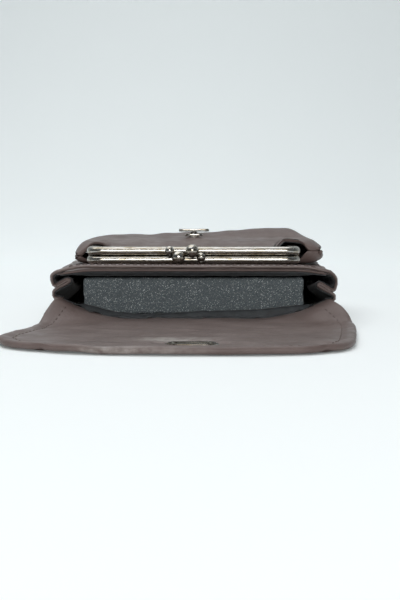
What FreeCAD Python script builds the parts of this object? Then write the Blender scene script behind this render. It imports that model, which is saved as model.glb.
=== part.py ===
import FreeCAD, Part
import math
import os
import Sketcher

# Purse lying on its back: X across, Y from the mouth towards the closed end, Z up.
# The middle of the flat back is the origin. The flap lies open in front of the mouth.

SIZES = (
    # body of the purse
    ("body_width", 127.0),
    ("body_depth", 90.0),
    ("panel_inset", 4.5),
    ("leather", 1.2),
    ("stiffener", 0.8),
    ("lining", 0.5),
    ("pocket_height", 19.7),
    ("seam_margin", 2.5),
    ("lip_roll", 1.55),
    ("soft_gap", 0.3),
    # folded side gussets
    ("gusset_leather", 1.0),
    ("gusset_fold", 11.5),
    ("cap_gap", 0.1),
    # foam block in the main pocket
    ("foam_side_gap", 3.0),
    ("foam_head_gap", 1.6),
    ("foam_depth", 40.0),
    ("foam_recess", 8.0),
    ("foam_round", 1.5),
    # clasp frame
    ("frame_width", 96.0),
    ("frame_recess", 9.0),
    ("frame_legs", 20.0),
    ("frame_lift", 1.6),
    ("bar_height", 3.75),
    ("bar_depth", 5.2),
    ("bar_wall", 0.7),
    ("bar_nose", 1.8),
    ("frame_corner", 7.0),
    ("halves_gap", 0.2),
    ("ear_radius", 2.6),
    ("ear_thick", 0.9),
    ("ear_gap", 0.1),
    ("ear_root", 3.0),
    ("pin_radius", 0.9),
    ("pin_play", 0.05),
    ("pin_head", 1.7),
    ("pin_dome", 0.9),
    ("cord_radius", 0.45),
    ("cord_edge_gap", 1.6),
    # clasp balls
    ("clasp_offset", -3.55),
    ("large_ball", 2.85),
    ("small_ball", 2.0),
    ("large_side", 3.0),
    ("small_side", 6.95),
    ("large_reach", 4.4),
    ("small_reach", 2.3),
    ("front_ball_rise", 0.3),
    ("rear_ball_rise", 1.4),
    ("stem_radius", 0.8),
    ("stem_head", 1.1),
    ("stem_head_thick", 0.4),
    # coin pouch
    ("bag_leather", 1.1),
    ("bag_lining", 0.4),
    ("lining_gap", 0.15),
    ("bag_inset", 3.0),
    ("bag_rise", 7.4),
    ("bag_swell", 4.2),
    ("bag_setback", 3.8),
    ("bag_end_gap", 1.0),
    ("bag_end_rise", 1.8),
    ("shoulder", 12.0),
    ("tray_round", 9.0),
    ("tray_lift", 0.4),
    ("mouth_margin", 0.5),
    ("panel_setback", 1.6),
    ("panel_rise", 4.9),
    ("panel_flat", 6.0),
    # turn lock
    ("lock_from_mouth", 41.0),
    ("lock_seat", 7.4),
    ("toggle_length", 14.4),
    ("toggle_width", 4.2),
    ("toggle_thick", 1.3),
    ("toggle_lift", 2.7),
    ("toggle_edge", 0.4),
    ("post_radius", 1.1),
    ("post_play", 0.05),
    ("collar_radius", 2.3),
    ("collar_thick", 0.5),
    ("plate_length", 16.0),
    ("plate_width", 9.0),
    ("plate_thick", 0.8),
    ("washer_radius", 2.2),
    ("washer_thick", 0.5),
    # flap
    ("flap_inset", 2.5),
    ("flap_outer", 1.0),
    ("flap_inner", 0.8),
    ("flap_overhang", 16.0),
    ("flap_corner", 36.0),
    ("flap_flare", 10.0),
    ("flap_flare_run", 16.2),
    ("flap_left_corner", 25.0),
    ("flap_left_round", 40.0),
    ("flap_rest_gap", 0.25),
    ("slot_length", 15.6),
    ("slot_width", 5.6),
    ("escutcheon_length", 31.0),
    ("escutcheon_width", 11.0),
    ("escutcheon_thick", 0.5),
    ("rim_wall", 0.8),
    ("rim_play", 0.1),
    ("rim_sink", 0.05),
    ("rivet_spacing", 24.6),
    ("rivet_radius", 0.9),
)

# Stations along the coin pouch from its front edge to its closed end.
STATION_SHARES = (0.0, 0.13, 0.28, 0.47, 0.6, 0.74, 0.86, 0.95, 1.0)
WIDTH_SHARES = (0.9, 0.945, 0.975, 0.992, 1.0, 0.99, 0.96, 0.905, 0.82)
RISE_SHARES = (0.974, 0.99, 1.0, 0.996, 0.965, 0.86, 0.65, 0.35, 0.0)
DROP_SHARES = (1.0, 1.0, 1.0, 1.0, 1.0, 0.96, 0.8, 0.47, 0.0)
SWELL_SHARES = (0.0, 0.0, 0.0, 0.0, 1.0, 0.92, 0.6, 0.25, 0.0)
LEAN_SHARES = (0.24, 0.42, 1.0)
SHOULDER_SHARE = 0.86
BULGE_SHARES = (0.2, 0.62)
HALF_SHARE = 0.5

vector = FreeCAD.Vector
doc = FreeCAD.newDocument("kiss_lock_frame_purse")
dims = doc.addObject("Spreadsheet::Sheet", "dims")
for row, (alias, value) in enumerate(SIZES, start=1):
    dims.set("A%d" % row, alias)
    dims.set("B%d" % row, str(value))
    dims.setAlias("B%d" % row, alias)
doc.recompute()

# Levels and stations used by several pieces, written as expressions on the sheet.
BODY_HALF = "(dims.body_width / 2)"
PANEL_HALF = "(%s - dims.panel_inset)" % BODY_HALF
BAG_HALF = "(%s - dims.bag_inset)" % BODY_HALF
FLAP_HALF = "(%s - dims.flap_inset)" % BODY_HALF
MOUTH = "(-dims.body_depth / 2)"
BACK_TOP = "(dims.leather + dims.stiffener + dims.lining)"
CEILING = "(%s + dims.pocket_height)" % BACK_TOP
FRONT_LOW = "(%s + dims.lining)" % CEILING
FRONT_TOP = "(%s + dims.leather)" % FRONT_LOW
BASE_RADIUS = "(%s / 2)" % FRONT_TOP
BASE_START = "(dims.body_depth / 2 - %s)" % BASE_RADIUS
PANEL_END = "(%s - dims.soft_gap)" % BASE_START
LINING_HALF = "(%s - dims.seam_margin)" % PANEL_HALF
LOBE_RADIUS = "((%s - dims.leather - dims.soft_gap) / 4)" % FRONT_LOW
LOBE_CENTRE = "(%s - %s)" % (BODY_HALF, LOBE_RADIUS)
LOBE_HOLLOW = "(%s - dims.gusset_leather)" % LOBE_RADIUS
CREASE = "(%s - dims.gusset_fold)" % BODY_HALF
LOBE_TAB = "(%s + dims.cap_gap)" % LINING_HALF
REAR_LOW = "(%s + dims.frame_lift)" % FRONT_TOP
FRAME_MID = "(%s + dims.bar_height + dims.halves_gap / 2)" % REAR_LOW
FRONT_HALF_LOW = "(%s + dims.halves_gap / 2)" % FRAME_MID
BAR_FACE = "(%s + dims.frame_recess)" % MOUTH
HINGE = "(%s + dims.frame_legs)" % BAR_FACE
LEG_END = "(%s - dims.ear_radius - dims.ear_gap - dims.bar_wall)" % HINGE
CHANNEL_X = "(dims.frame_width / 2 - dims.bar_depth)"
CHANNEL_Y = "(%s + dims.bar_depth)" % BAR_FACE
PATH_CORNER = "(dims.frame_corner - dims.bar_depth)"
BAG_START = "(%s + dims.bag_setback)" % HINGE
BAG_END = "(dims.body_depth / 2 - dims.bag_end_gap)"
LOCK_Y = "(%s + dims.lock_from_mouth)" % MOUTH
LOCK_SEAT = "(%s + dims.lock_seat)" % FRAME_MID
LOCK_UNDER = "(%s - dims.bag_leather)" % LOCK_SEAT
FLAP_EDGE = "(%s - dims.soft_gap)" % MOUTH
FLAP_LOW = "(%s - dims.flap_inner - dims.flap_outer)" % BACK_TOP
FLAP_MID = "(%s - dims.flap_inner)" % BACK_TOP
BRIDGE = "(%s + dims.flap_rest_gap - %s)" % (LOCK_SEAT, BACK_TOP)
FOLD = "(%s - %s)" % (FLAP_EDGE, BRIDGE)
FLAP_END = "(%s - (%s - %s) - dims.flap_overhang)" % (FOLD, LOCK_Y, FLAP_EDGE)
SLOT_Y = "(%s - (%s - %s))" % (FOLD, LOCK_Y, FLAP_EDGE)

parts = []


def size(expression):
    return float(dims.evalExpression(expression))


def minus(expression):
    return "(-(%s))" % expression


def keep(piece, label):
    piece.Label = label
    parts.append(piece)
    return piece


def block(name, x, y, z):
    """Plain sheet or block between two levels along each axis."""
    piece = doc.addObject("Part::Box", name)
    spans = (("Length", "x", x), ("Width", "y", y), ("Height", "z", z))
    for length, axis, (low, high) in spans:
        piece.setExpression(length, "%s - (%s)" % (high, low))
        piece.setExpression("Placement.Base." + axis, low)
    return piece


def drum(name, radius, height, base, axis=(0, 0, 1)):
    """Round piece whose height runs along the given axis from its base point."""
    piece = doc.addObject("Part::Cylinder", name)
    piece.setExpression("Radius", radius)
    piece.setExpression("Height", height)
    turn = FreeCAD.Rotation(vector(0, 0, 1), vector(*axis))
    piece.Placement = FreeCAD.Placement(vector(0, 0, 0), turn)
    for letter, value in zip("xyz", base):
        piece.setExpression("Placement.Base." + letter, value)
    return piece


def ball(name, radius, centre):
    piece = doc.addObject("Part::Sphere", name)
    piece.setExpression("Radius", radius)
    for letter, value in zip("xyz", centre):
        piece.setExpression("Placement.Base." + letter, value)
    return piece


def fuse(name, pieces):
    whole = doc.addObject("Part::MultiFuse", name)
    whole.Shapes = pieces
    return whole


def new_body(name):
    return doc.addObject("PartDesign::Body", name)


def new_sketch(body, name, role, offset):
    """Sketch on one of the body's own base planes, moved along the plane's normal."""
    sketch = body.newObject("Sketcher::SketchObject", name)
    plane = [item for item in body.Origin.OriginFeatures if item.Role == role][0]
    sketch.AttachmentSupport = [(plane, "")]
    sketch.MapMode = "FlatFace"
    sketch.setExpression("AttachmentOffset.Base.z", offset)
    return sketch


def pin_point(sketch, edge, end, point):
    """Tie one point of a sketch to two expressions on the sheet."""
    axes = (("DistanceX", point[0], -2), ("DistanceY", point[1], -1))
    for kind, expression, axis in axes:
        value = size(expression)
        if abs(value) < Part.Precision.confusion():
            sketch.addConstraint(Sketcher.Constraint("PointOnObject", edge, end, axis))
        else:
            rule = Sketcher.Constraint(kind, -1, 1, edge, end, value)
            sketch.setExpression("Constraints[%d]" % sketch.addConstraint(rule), expression)


def draw_loop(sketch, corners, closed=True):
    """Lines and arcs through the corners; a bend is (radius, turn) of the edge that leaves."""
    first = sketch.GeometryCount
    count = len(corners)
    edges = count if closed else count - 1
    ends = []
    for index in range(edges):
        here = corners[index]
        after = corners[(index + 1) % count]
        start = vector(size(here[0]), size(here[1]), 0)
        stop = vector(size(after[0]), size(after[1]), 0)
        if len(here) == 2:
            sketch.addGeometry(Part.LineSegment(start, stop), False)
            ends.append((1, 2))
            continue
        radius, turn = size(here[2]), here[3]
        chord = stop - start
        side = vector(-chord.y, chord.x, 0).normalize() * turn
        reach = math.sqrt(max(radius ** 2 - (chord.Length / 2) ** 2, 0))
        centre = (start + stop) * HALF_SHARE + side * reach
        low, high = (start, stop) if turn > 0 else (stop, start)
        angles = [math.atan2(p.y - centre.y, p.x - centre.x) for p in (low, high)]
        circle = Part.Circle(centre, vector(0, 0, 1), radius)
        sketch.addGeometry(Part.ArcOfCircle(circle, angles[0], angles[1]), False)
        ends.append((1, 2) if turn > 0 else (2, 1))
    for index in range(edges if closed else edges - 1):
        after = (index + 1) % edges
        rule = ("Coincident", first + index, ends[index][1], first + after, ends[after][0])
        sketch.addConstraint(Sketcher.Constraint(*rule))
    for index in range(edges):
        pin_point(sketch, first + index, ends[index][0], corners[index])
        if len(corners[index]) > 2:
            rule = Sketcher.Constraint("Radius", first + index, size(corners[index][2]))
            number = sketch.addConstraint(rule)
            sketch.setExpression("Constraints[%d]" % number, corners[index][2])
    if not closed:
        pin_point(sketch, first + edges - 1, ends[-1][1], corners[-1])


def draw_circle(sketch, centre, radius):
    place = vector(size(centre[0]), size(centre[1]), 0)
    number = sketch.addGeometry(Part.Circle(place, vector(0, 0, 1), size(radius)), False)
    pin_point(sketch, number, 3, centre)
    rule = Sketcher.Constraint("Radius", number, size(radius))
    sketch.setExpression("Constraints[%d]" % sketch.addConstraint(rule), radius)


def pad(body, sketch, length):
    feature = body.newObject("PartDesign::Pad", sketch.Name + "_pad")
    feature.Profile = sketch
    feature.setExpression("Length", length)
    return feature


def pocket(body, sketch, length):
    """Cut that runs both ways from its sketch."""
    feature = body.newObject("PartDesign::Pocket", sketch.Name + "_cut")
    feature.Profile = sketch
    feature.Midplane = True
    feature.setExpression("Length", length)
    return feature


def stadium(length, width, centre_v):
    """Oblong outline with round ends, its length along the first sketch axis."""
    radius = "(%s / 2)" % width
    flat = "(%s / 2 - %s)" % (length, radius)
    tip = "(%s / 2)" % length
    low = "(%s - %s)" % (centre_v, radius)
    high = "(%s + %s)" % (centre_v, radius)
    return (
        (minus(flat), low),
        (flat, low, radius, 1),
        (tip, centre_v, radius, 1),
        (flat, high),
        (minus(flat), high, radius, 1),
        (minus(tip), centre_v, radius, 1),
    )


# Back of the purse: leather, stiffening board and lining.
across = (minus(PANEL_HALF), PANEL_HALF)
lined = (minus(LINING_HALF), LINING_HALF)
keep(block("back_panel", across, (MOUTH, BASE_START), ("0", "dims.leather")), "back_panel")
board_top = "(dims.leather + dims.stiffener)"
along = (MOUTH, PANEL_END)
keep(block("back_stiffener", lined, along, ("dims.leather", board_top)), "back_stiffener")
keep(block("back_lining", lined, along, (board_top, BACK_TOP)), "back_lining")


def base_ring(label, outer, inner, half_width):
    """Half round turn of sheet round the closed end."""
    body = new_body(label)
    sketch = new_sketch(body, label + "_profile", "YZ_Plane", minus(half_width))
    quarter_outer = "(%s + %s)" % (BASE_START, outer)
    quarter_inner = "(%s + %s)" % (BASE_START, inner)
    low_outer = "(%s - %s)" % (BASE_RADIUS, outer)
    low_inner = "(%s - %s)" % (BASE_RADIUS, inner)
    high_outer = "(%s + %s)" % (BASE_RADIUS, outer)
    high_inner = "(%s + %s)" % (BASE_RADIUS, inner)
    draw_loop(sketch, (
        (BASE_START, low_outer, outer, 1),
        (quarter_outer, BASE_RADIUS, outer, 1),
        (BASE_START, high_outer),
        (BASE_START, high_inner, inner, -1),
        (quarter_inner, BASE_RADIUS, inner, -1),
        (BASE_START, low_inner),
    ))
    pad(body, sketch, "2 * %s" % half_width)
    return keep(body, label)


ring_inner = "(%s - dims.leather)" % BASE_RADIUS


def base_cap(label, start):
    """Half disc that closes the side of the closed end below the gusset."""
    body = new_body(label)
    sketch = new_sketch(body, label + "_outline", "YZ_Plane", start)
    radius = "(%s - dims.cap_gap)" % ring_inner
    draw_loop(sketch, (
        (BASE_START, "(%s - %s)" % (BASE_RADIUS, radius), radius, 1),
        ("(%s + %s)" % (BASE_START, radius), BASE_RADIUS, radius, 1),
        (BASE_START, "(%s + %s)" % (BASE_RADIUS, radius)),
    ))
    pad(body, sketch, "dims.gusset_leather")
    return keep(body, label)


base_cap("left_base_cap", minus(BODY_HALF))
base_cap("right_base_cap", "(%s - dims.gusset_leather)" % BODY_HALF)
base_ring("base_fold", BASE_RADIUS, ring_inner, BODY_HALF)
ring_lining = "(%s - dims.lining)" % ring_inner
base_ring("base_lining", ring_inner, ring_lining, LINING_HALF)


def gusset_lobe(label, side, low):
    """One lobe of an accordion side: a round fold with a tab on its panel and a crease leg."""
    upper = low != "dims.leather"
    top = "(%s + 2 * %s)" % (low, LOBE_RADIUS)
    middle = "(%s + %s)" % (low, LOBE_RADIUS)
    low_in = "(%s + dims.gusset_leather)" % low
    top_in = "(%s - dims.gusset_leather)" % top
    foot = CREASE if upper else LOBE_TAB
    head = LOBE_TAB if upper else CREASE
    out_x = "(%s + %s)" % (LOBE_CENTRE, LOBE_RADIUS)
    in_x = "(%s + %s)" % (LOBE_CENTRE, LOBE_HOLLOW)
    corners = [
        (foot, low),
        (LOBE_CENTRE, low, LOBE_RADIUS, 1),
        (out_x, middle, LOBE_RADIUS, 1),
        (LOBE_CENTRE, top),
        (head, top),
        (head, top_in),
        (LOBE_CENTRE, top_in, LOBE_HOLLOW, -1),
        (in_x, middle, LOBE_HOLLOW, -1),
        (LOBE_CENTRE, low_in),
        (foot, low_in),
    ]
    if side < 0:
        corners = [(minus(c[0]),) + c[1:3] + ((-c[3],) if len(c) > 2 else ()) for c in corners]
    body = new_body(label)
    sketch = new_sketch(body, label + "_profile", "XZ_Plane", minus(PANEL_END))
    draw_loop(sketch, corners)
    pad(body, sketch, "%s - %s" % (PANEL_END, MOUTH))
    keep(body, label)


upper_lobe = "(%s - 2 * %s)" % (FRONT_LOW, LOBE_RADIUS)
gusset_lobe("left_gusset_lower", -1, "dims.leather")
gusset_lobe("right_gusset_lower", 1, "dims.leather")
gusset_lobe("left_gusset_upper", -1, upper_lobe)
gusset_lobe("right_gusset_upper", 1, upper_lobe)

# Front wall of the main pocket with its rolled lip.
wall = block("front_wall", across, along, (FRONT_LOW, FRONT_TOP))
roll_y = "(%s + dims.lip_roll)" % MOUTH
roll_z = "(%s + dims.lip_roll)" % FRONT_LOW
roll_base = (minus(PANEL_HALF), roll_y, roll_z)
roll = drum("front_lip", "dims.lip_roll", "2 * %s" % PANEL_HALF, roll_base, (1, 0, 0))
keep(fuse("front_panel", [wall, roll]), "front_panel")
keep(block("front_lining", lined, along, (CEILING, FRONT_LOW)), "front_lining")

# Foam block pushed into the main pocket.
foam_half = "(%s - dims.foam_side_gap)" % CREASE
foam_face = "(%s + dims.foam_recess)" % MOUTH
foam_rear = "(%s + dims.foam_depth)" % foam_face
foam_low = "(%s + dims.soft_gap)" % BACK_TOP
foam_body = new_body("foam_insert")
foam_sketch = new_sketch(foam_body, "foam_profile", "XZ_Plane", minus(foam_rear))
foam_high = "(%s - dims.foam_head_gap)" % CEILING
draw_loop(foam_sketch, (
    (minus(foam_half), foam_low),
    (foam_half, foam_low),
    (foam_half, foam_high),
    (minus(foam_half), foam_high),
))
foam_pad = pad(foam_body, foam_sketch, "dims.foam_depth")
doc.recompute()
upright = []
for number, edge in enumerate(foam_pad.Shape.Edges, start=1):
    if abs(edge.tangentAt(edge.FirstParameter).y) > HALF_SHARE:
        upright.append("Edge%d" % number)
foam_fillet = foam_body.newObject("PartDesign::Fillet", "foam_edges")
foam_fillet.Base = (foam_pad, upright)
foam_fillet.setExpression("Radius", "dims.foam_round")
keep(foam_body, "foam_insert")


def channel_path(body, name, level):
    """Line along the open side of the frame channel, from one leg round to the other."""
    sketch = new_sketch(body, name, "XY_Plane", level)
    turn_x = "(%s - %s)" % (CHANNEL_X, PATH_CORNER)
    turn_y = "(%s + %s)" % (CHANNEL_Y, PATH_CORNER)
    draw_loop(sketch, (
        (minus(CHANNEL_X), LEG_END),
        (minus(CHANNEL_X), turn_y, PATH_CORNER, 1),
        (minus(turn_x), CHANNEL_Y),
        (turn_x, CHANNEL_Y, PATH_CORNER, 1),
        (CHANNEL_X, turn_y),
        (CHANNEL_X, LEG_END),
    ), closed=False)
    return sketch


def sweep(body, profile, path):
    feature = body.newObject("PartDesign::AdditivePipe", profile.Name + "_sweep")
    feature.Profile = profile
    feature.Spine = (path, ["Edge%d" % (i + 1) for i in range(path.GeometryCount)])
    return feature


def frame_half(label, low, ear_out, balls):
    """Channel swept round the mouth, with a hinge ear on each leg and holes for its balls."""
    body = new_body(label)
    path = channel_path(body, label + "_path", low)
    profile = new_sketch(body, label + "_profile", "XZ_Plane", minus(LEG_END))
    top = "(%s + dims.bar_height)" % low
    low_in = "(%s + dims.bar_wall)" % low
    top_in = "(%s - dims.bar_wall)" % top
    low_nose = "(%s + dims.bar_nose)" % low
    top_nose = "(%s - dims.bar_nose)" % top
    open_x = minus(CHANNEL_X)
    side_x = "(-dims.frame_width / 2)"
    nose_x = "(%s + dims.bar_nose)" % side_x
    wall_x = "(%s + dims.bar_wall)" % side_x
    draw_loop(profile, (
        (open_x, low),
        (nose_x, low, "dims.bar_nose", -1),
        (side_x, low_nose),
        (side_x, top_nose, "dims.bar_nose", -1),
        (nose_x, top),
        (open_x, top),
        (open_x, top_in),
        (wall_x, top_in),
        (wall_x, low_in),
        (open_x, low_in),
    ))
    sweep(body, profile, path)
    ear_start = "(%s - dims.ear_root)" % LEG_END
    ear_in = "(%s - dims.ear_thick)" % ear_out
    reach = "(%s + dims.ear_radius)" % HINGE
    above = "(%s + dims.ear_radius)" % FRAME_MID
    below = "(%s - dims.ear_radius)" % FRAME_MID
    rising = low == FRONT_HALF_LOW
    tab_low = low_in if rising else below
    tab_high = above if rising else top_in
    for side, start in (("left", minus(ear_out)), ("right", ear_in)):
        ear = new_sketch(body, "%s_%s_ear" % (label, side), "YZ_Plane", start)
        if rising:
            draw_loop(ear, (
                (ear_start, tab_low),
                (LEG_END, tab_low),
                ("(%s - dims.ear_radius)" % HINGE, FRAME_MID, "dims.ear_radius", 1),
                (HINGE, below, "dims.ear_radius", 1),
                (reach, FRAME_MID, "dims.ear_radius", 1),
                (HINGE, above),
                (ear_start, above),
            ))
        else:
            draw_loop(ear, (
                (ear_start, tab_high),
                (ear_start, below),
                (HINGE, below, "dims.ear_radius", 1),
                (reach, FRAME_MID, "dims.ear_radius", 1),
                (HINGE, above, "dims.ear_radius", 1),
                ("(%s - dims.ear_radius)" % HINGE, FRAME_MID),
                (LEG_END, tab_high),
            ))
        pad(body, ear, "dims.ear_thick")
    pins = new_sketch(body, label + "_pins", "YZ_Plane", "0")
    draw_circle(pins, (HINGE, FRAME_MID), "(dims.pin_radius + dims.pin_play)")
    pocket(body, pins, "2 * dims.frame_width")
    holes = new_sketch(body, label + "_holes", "XZ_Plane", minus(BAR_FACE))
    for side_x in balls:
        draw_circle(holes, (side_x, "(%s + dims.bar_height / 2)" % low), "dims.stem_radius")
    pocket(body, holes, "4 * dims.bar_wall")
    return keep(body, label)


def clasp_ball(label, low, side_x, rise, radius, reach):
    """Ball on a stem that passes through the bar and is headed over inside the channel."""
    level = "(%s + dims.bar_height / 2)" % low
    centre_y = "(%s - %s)" % (BAR_FACE, reach)
    inner_face = "(%s + dims.bar_wall)" % BAR_FACE
    head_y = "(%s + dims.stem_head_thick)" % inner_face
    globe = ball(label + "_globe", radius, (side_x, centre_y, "(%s + %s)" % (level, rise)))
    stem_length = "(%s - %s)" % (head_y, centre_y)
    stem = drum(label + "_stem", "dims.stem_radius", stem_length, (side_x, centre_y, level), (0, 1, 0))
    head_base = (side_x, inner_face, level)
    head = drum(label + "_head", "dims.stem_head", "dims.stem_head_thick", head_base, (0, 1, 0))
    keep(fuse(label, [globe, stem, head]), label)


front_large = "(dims.clasp_offset + dims.large_side)"
front_small = "(dims.clasp_offset - dims.small_side)"
rear_large = "(dims.clasp_offset - dims.large_side)"
rear_small = "(dims.clasp_offset + dims.small_side)"
outer_ear = "(dims.frame_width / 2)"
inner_ear = "(%s - dims.ear_thick - dims.ear_gap)" % outer_ear
frame_half("rear_frame", REAR_LOW, inner_ear, (rear_large, rear_small))
frame_half("front_frame", FRONT_HALF_LOW, outer_ear, (front_large, front_small))
rear_rise = "dims.rear_ball_rise"
front_rise = "dims.front_ball_rise"
large = ("dims.large_ball", "dims.large_reach")
small = ("dims.small_ball", "dims.small_reach")
clasp_ball("rear_large_ball", REAR_LOW, rear_large, rear_rise, *large)
clasp_ball("rear_small_ball", REAR_LOW, rear_small, rear_rise, *small)
clasp_ball("front_large_ball", FRONT_HALF_LOW, front_large, front_rise, *large)
clasp_ball("front_small_ball", FRONT_HALF_LOW, front_small, front_rise, *small)


def hinge_pin(label, side):
    """Rivet through both ears with a domed head outside and a flat head inside."""
    body = new_body(label)
    sketch = new_sketch(body, label + "_profile", "XY_Plane", FRAME_MID)
    shank_in = "(%s - dims.ear_thick - dims.ear_gap)" % inner_ear
    end_in = "(%s - dims.pin_dome)" % shank_in
    head_at = "(%s + dims.ear_gap)" % outer_ear
    head_out = "(%s + dims.pin_dome)" % head_at
    round_off = "(dims.pin_head - dims.pin_dome)"
    shank = "(%s + dims.pin_radius)" % HINGE
    rim = "(%s + dims.pin_head)" % HINGE
    tip = "(%s + %s)" % (HINGE, round_off)
    corners = [
        (end_in, HINGE),
        (head_out, HINGE),
        (head_out, tip, "dims.pin_dome", 1),
        (head_at, rim),
        (head_at, shank),
        (shank_in, shank),
        (shank_in, rim),
        (end_in, rim),
    ]
    if side < 0:
        corners = [(minus(c[0]),) + c[1:3] + ((-c[3],) if len(c) > 2 else ()) for c in corners]
    draw_loop(sketch, corners)
    turned = body.newObject("PartDesign::Revolution", label + "_turned")
    turned.Profile = sketch
    turned.ReferenceAxis = (sketch, ["Edge1"])
    turned.Angle = 360
    keep(body, label)


hinge_pin("left_hinge_pin", -1)
hinge_pin("right_hinge_pin", 1)


def channel_cord(label, low):
    """Paper cord that wedges the leather into the frame channel."""
    body = new_body(label)
    inset = "(dims.bar_depth - dims.bar_wall - dims.cord_edge_gap)"
    centre = "(%s + dims.bar_height - dims.bar_wall - dims.cord_radius)" % low
    run_x = "(%s + %s)" % (CHANNEL_X, inset)
    run_y = "(%s - %s)" % (CHANNEL_Y, inset)
    bend = "(%s + %s)" % (PATH_CORNER, inset)
    path = new_sketch(body, label + "_path", "XY_Plane", centre)
    cord_end = "(%s - dims.ear_root)" % LEG_END
    draw_loop(path, (
        (minus(run_x), cord_end),
        (minus(run_x), "(%s + %s)" % (run_y, bend), bend, 1),
        (minus("(%s - %s)" % (run_x, bend)), run_y),
        ("(%s - %s)" % (run_x, bend), run_y, bend, 1),
        (run_x, "(%s + %s)" % (run_y, bend)),
        (run_x, cord_end),
    ), closed=False)
    profile = new_sketch(body, label + "_profile", "XZ_Plane", minus(cord_end))
    draw_circle(profile, (minus(run_x), centre), "dims.cord_radius")
    sweep(body, profile, path)
    keep(body, label)


channel_cord("rear_channel_cord", REAR_LOW)
channel_cord("front_channel_cord", FRONT_HALF_LOW)


def arch(station, half_width, level, rise, run, inset, swell):
    """Points of one side of an arched section: two shoulders and a crown, fuller on the right."""
    half = half_width - inset
    height = rise - math.copysign(inset, rise)
    turn = level + height * SHOULDER_SHARE
    left, crown, right = [swell * share for share in LEAN_SHARES]
    bulge_x = half - run * BULGE_SHARES[0]
    bulge_z = level + height * BULGE_SHARES[1] * SHOULDER_SHARE
    return (
        vector(-half, station, level),
        vector(-bulge_x, station, bulge_z + left * BULGE_SHARES[1]),
        vector(run - half, station, turn + left),
        vector(0, station, level + height + crown),
        vector(half - run, station, turn + right),
        vector(bulge_x, station, bulge_z + right * BULGE_SHARES[1]),
        vector(half, station, level),
    )


def shell(sections, level, run, outside, inside):
    """Leather or lining lofted through arched sections of the pouch."""
    wires = []
    for station, half_width, rise, swell in sections:
        outer = arch(station, half_width, level, rise, run, outside, swell)
        inner = arch(station, half_width, level, rise, run, inside, swell)
        edges = [Part.Arc(*outer[i:i + 3]).toShape() for i in (0, 2, 4)]
        edges.append(Part.makeLine(outer[6], inner[6]))
        edges += [Part.Arc(inner[i], inner[i - 1], inner[i - 2]).toShape() for i in (6, 4, 2)]
        edges.append(Part.makeLine(inner[0], outer[0]))
        wires.append(Part.Wire(edges))
    return Part.makeLoft(wires, True, True)


def soft_piece(label, shape):
    piece = doc.addObject("Part::Feature", label)
    piece.Shape = shape
    return keep(piece, label)


# Coin pouch: a domed front that carries the lock and a shallow back, sewn at the middle level.
bag_start = size(BAG_START)
bag_run = size(BAG_END) - bag_start
bag_half = size(BAG_HALF)
seam_high = size(FRONT_HALF_LOW)
seam_low = seam_high - size("dims.halves_gap")
end_rise = size("dims.bag_end_rise")
tray_floor = size("%s + dims.tray_lift" % FRONT_TOP)
tray_drop = seam_low - tray_floor
stations = [bag_start + bag_run * share for share in STATION_SHARES]
widths = [bag_half * share for share in WIDTH_SHARES]
rises = [end_rise + (size("dims.bag_rise") - end_rise) * share for share in RISE_SHARES]
drops = [-end_rise - (tray_drop - end_rise) * share for share in DROP_SHARES]
swells = [size("dims.bag_swell") * share for share in SWELL_SHARES]
dome_sections = list(zip(stations, widths, rises, swells))
tray_sections = list(zip(stations, widths, drops, [0] * len(drops)))
thick = size("dims.bag_leather")
skin = size("dims.bag_lining")
skin_top = thick + size("dims.lining_gap")
shoulder = size("dims.shoulder")
tray_round = size("dims.tray_round")
lock_at = vector(0, size(LOCK_Y), 0)
seat = size(LOCK_SEAT)
under = size(LOCK_UNDER)
plate_size = [size("dims.plate_length"), size("dims.plate_width"), size("dims.plate_thick")]
plate_corner = vector(-plate_size[0] / 2, lock_at.y - plate_size[1] / 2, under - plate_size[2])
post_hole = size("dims.post_radius + dims.post_play")
up = vector(0, 0, 1)

plate_room = Part.makeBox(*plate_size, plate_corner)
collar_room = Part.makeCylinder(size("dims.collar_radius"), plate_size[0], vector(0, lock_at.y, seat), up)
bore = Part.makeCylinder(post_hole, plate_size[0], vector(0, lock_at.y, seat - plate_size[0] / 2), up)
crown_start = SWELL_SHARES.index(max(SWELL_SHARES)) - 1
domed = shell(dome_sections[:crown_start + 1], seam_high, shoulder, 0, thick)
soft_piece("pouch_front", domed.cut(plate_room).cut(collar_room).cut(bore))
soft_piece("pouch_crown", shell(dome_sections[crown_start:], seam_high, shoulder, 0, thick))

window_low = plate_corner - vector(skin, skin, plate_size[0])
window = Part.makeBox(
    plate_size[0] + 2 * skin, plate_size[1] + 2 * skin, 2 * plate_size[0], window_low)
lined_front = shell(dome_sections, seam_high, shoulder, skin_top, skin_top + skin)
hem = Part.makeBox(
    2 * bag_half, size("dims.bag_setback"), 2 * plate_size[0],
    vector(-bag_half, bag_start, seam_low))
soft_piece("pouch_front_lining", lined_front.cut(window).cut(hem))

channel_half = size("%s - dims.mouth_margin" % CHANNEL_X)
leather_in = size(BAR_FACE) + size("dims.bar_wall + dims.stem_head_thick + dims.mouth_margin")
rear_level = size("%s + dims.bar_wall + dims.mouth_margin / 2" % REAR_LOW)
ramp_start = size(CHANNEL_Y) + size("dims.mouth_margin")
tray_join = bag_start + size("dims.bag_setback") / 2
ramp = (
    (leather_in, rear_level),
    (ramp_start, rear_level),
    (bag_start, tray_floor),
    (tray_join, tray_floor),
    (tray_join, tray_floor + thick),
    (bag_start, tray_floor + thick),
    (ramp_start, rear_level + thick),
    (leather_in, rear_level + thick),
)


def across_sheet(profile, half):
    points = [vector(-half, y, z) for y, z in profile]
    face = Part.Face(Part.makePolygon(points + points[:1]))
    return face.extrude(vector(2 * half, 0, 0))


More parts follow.
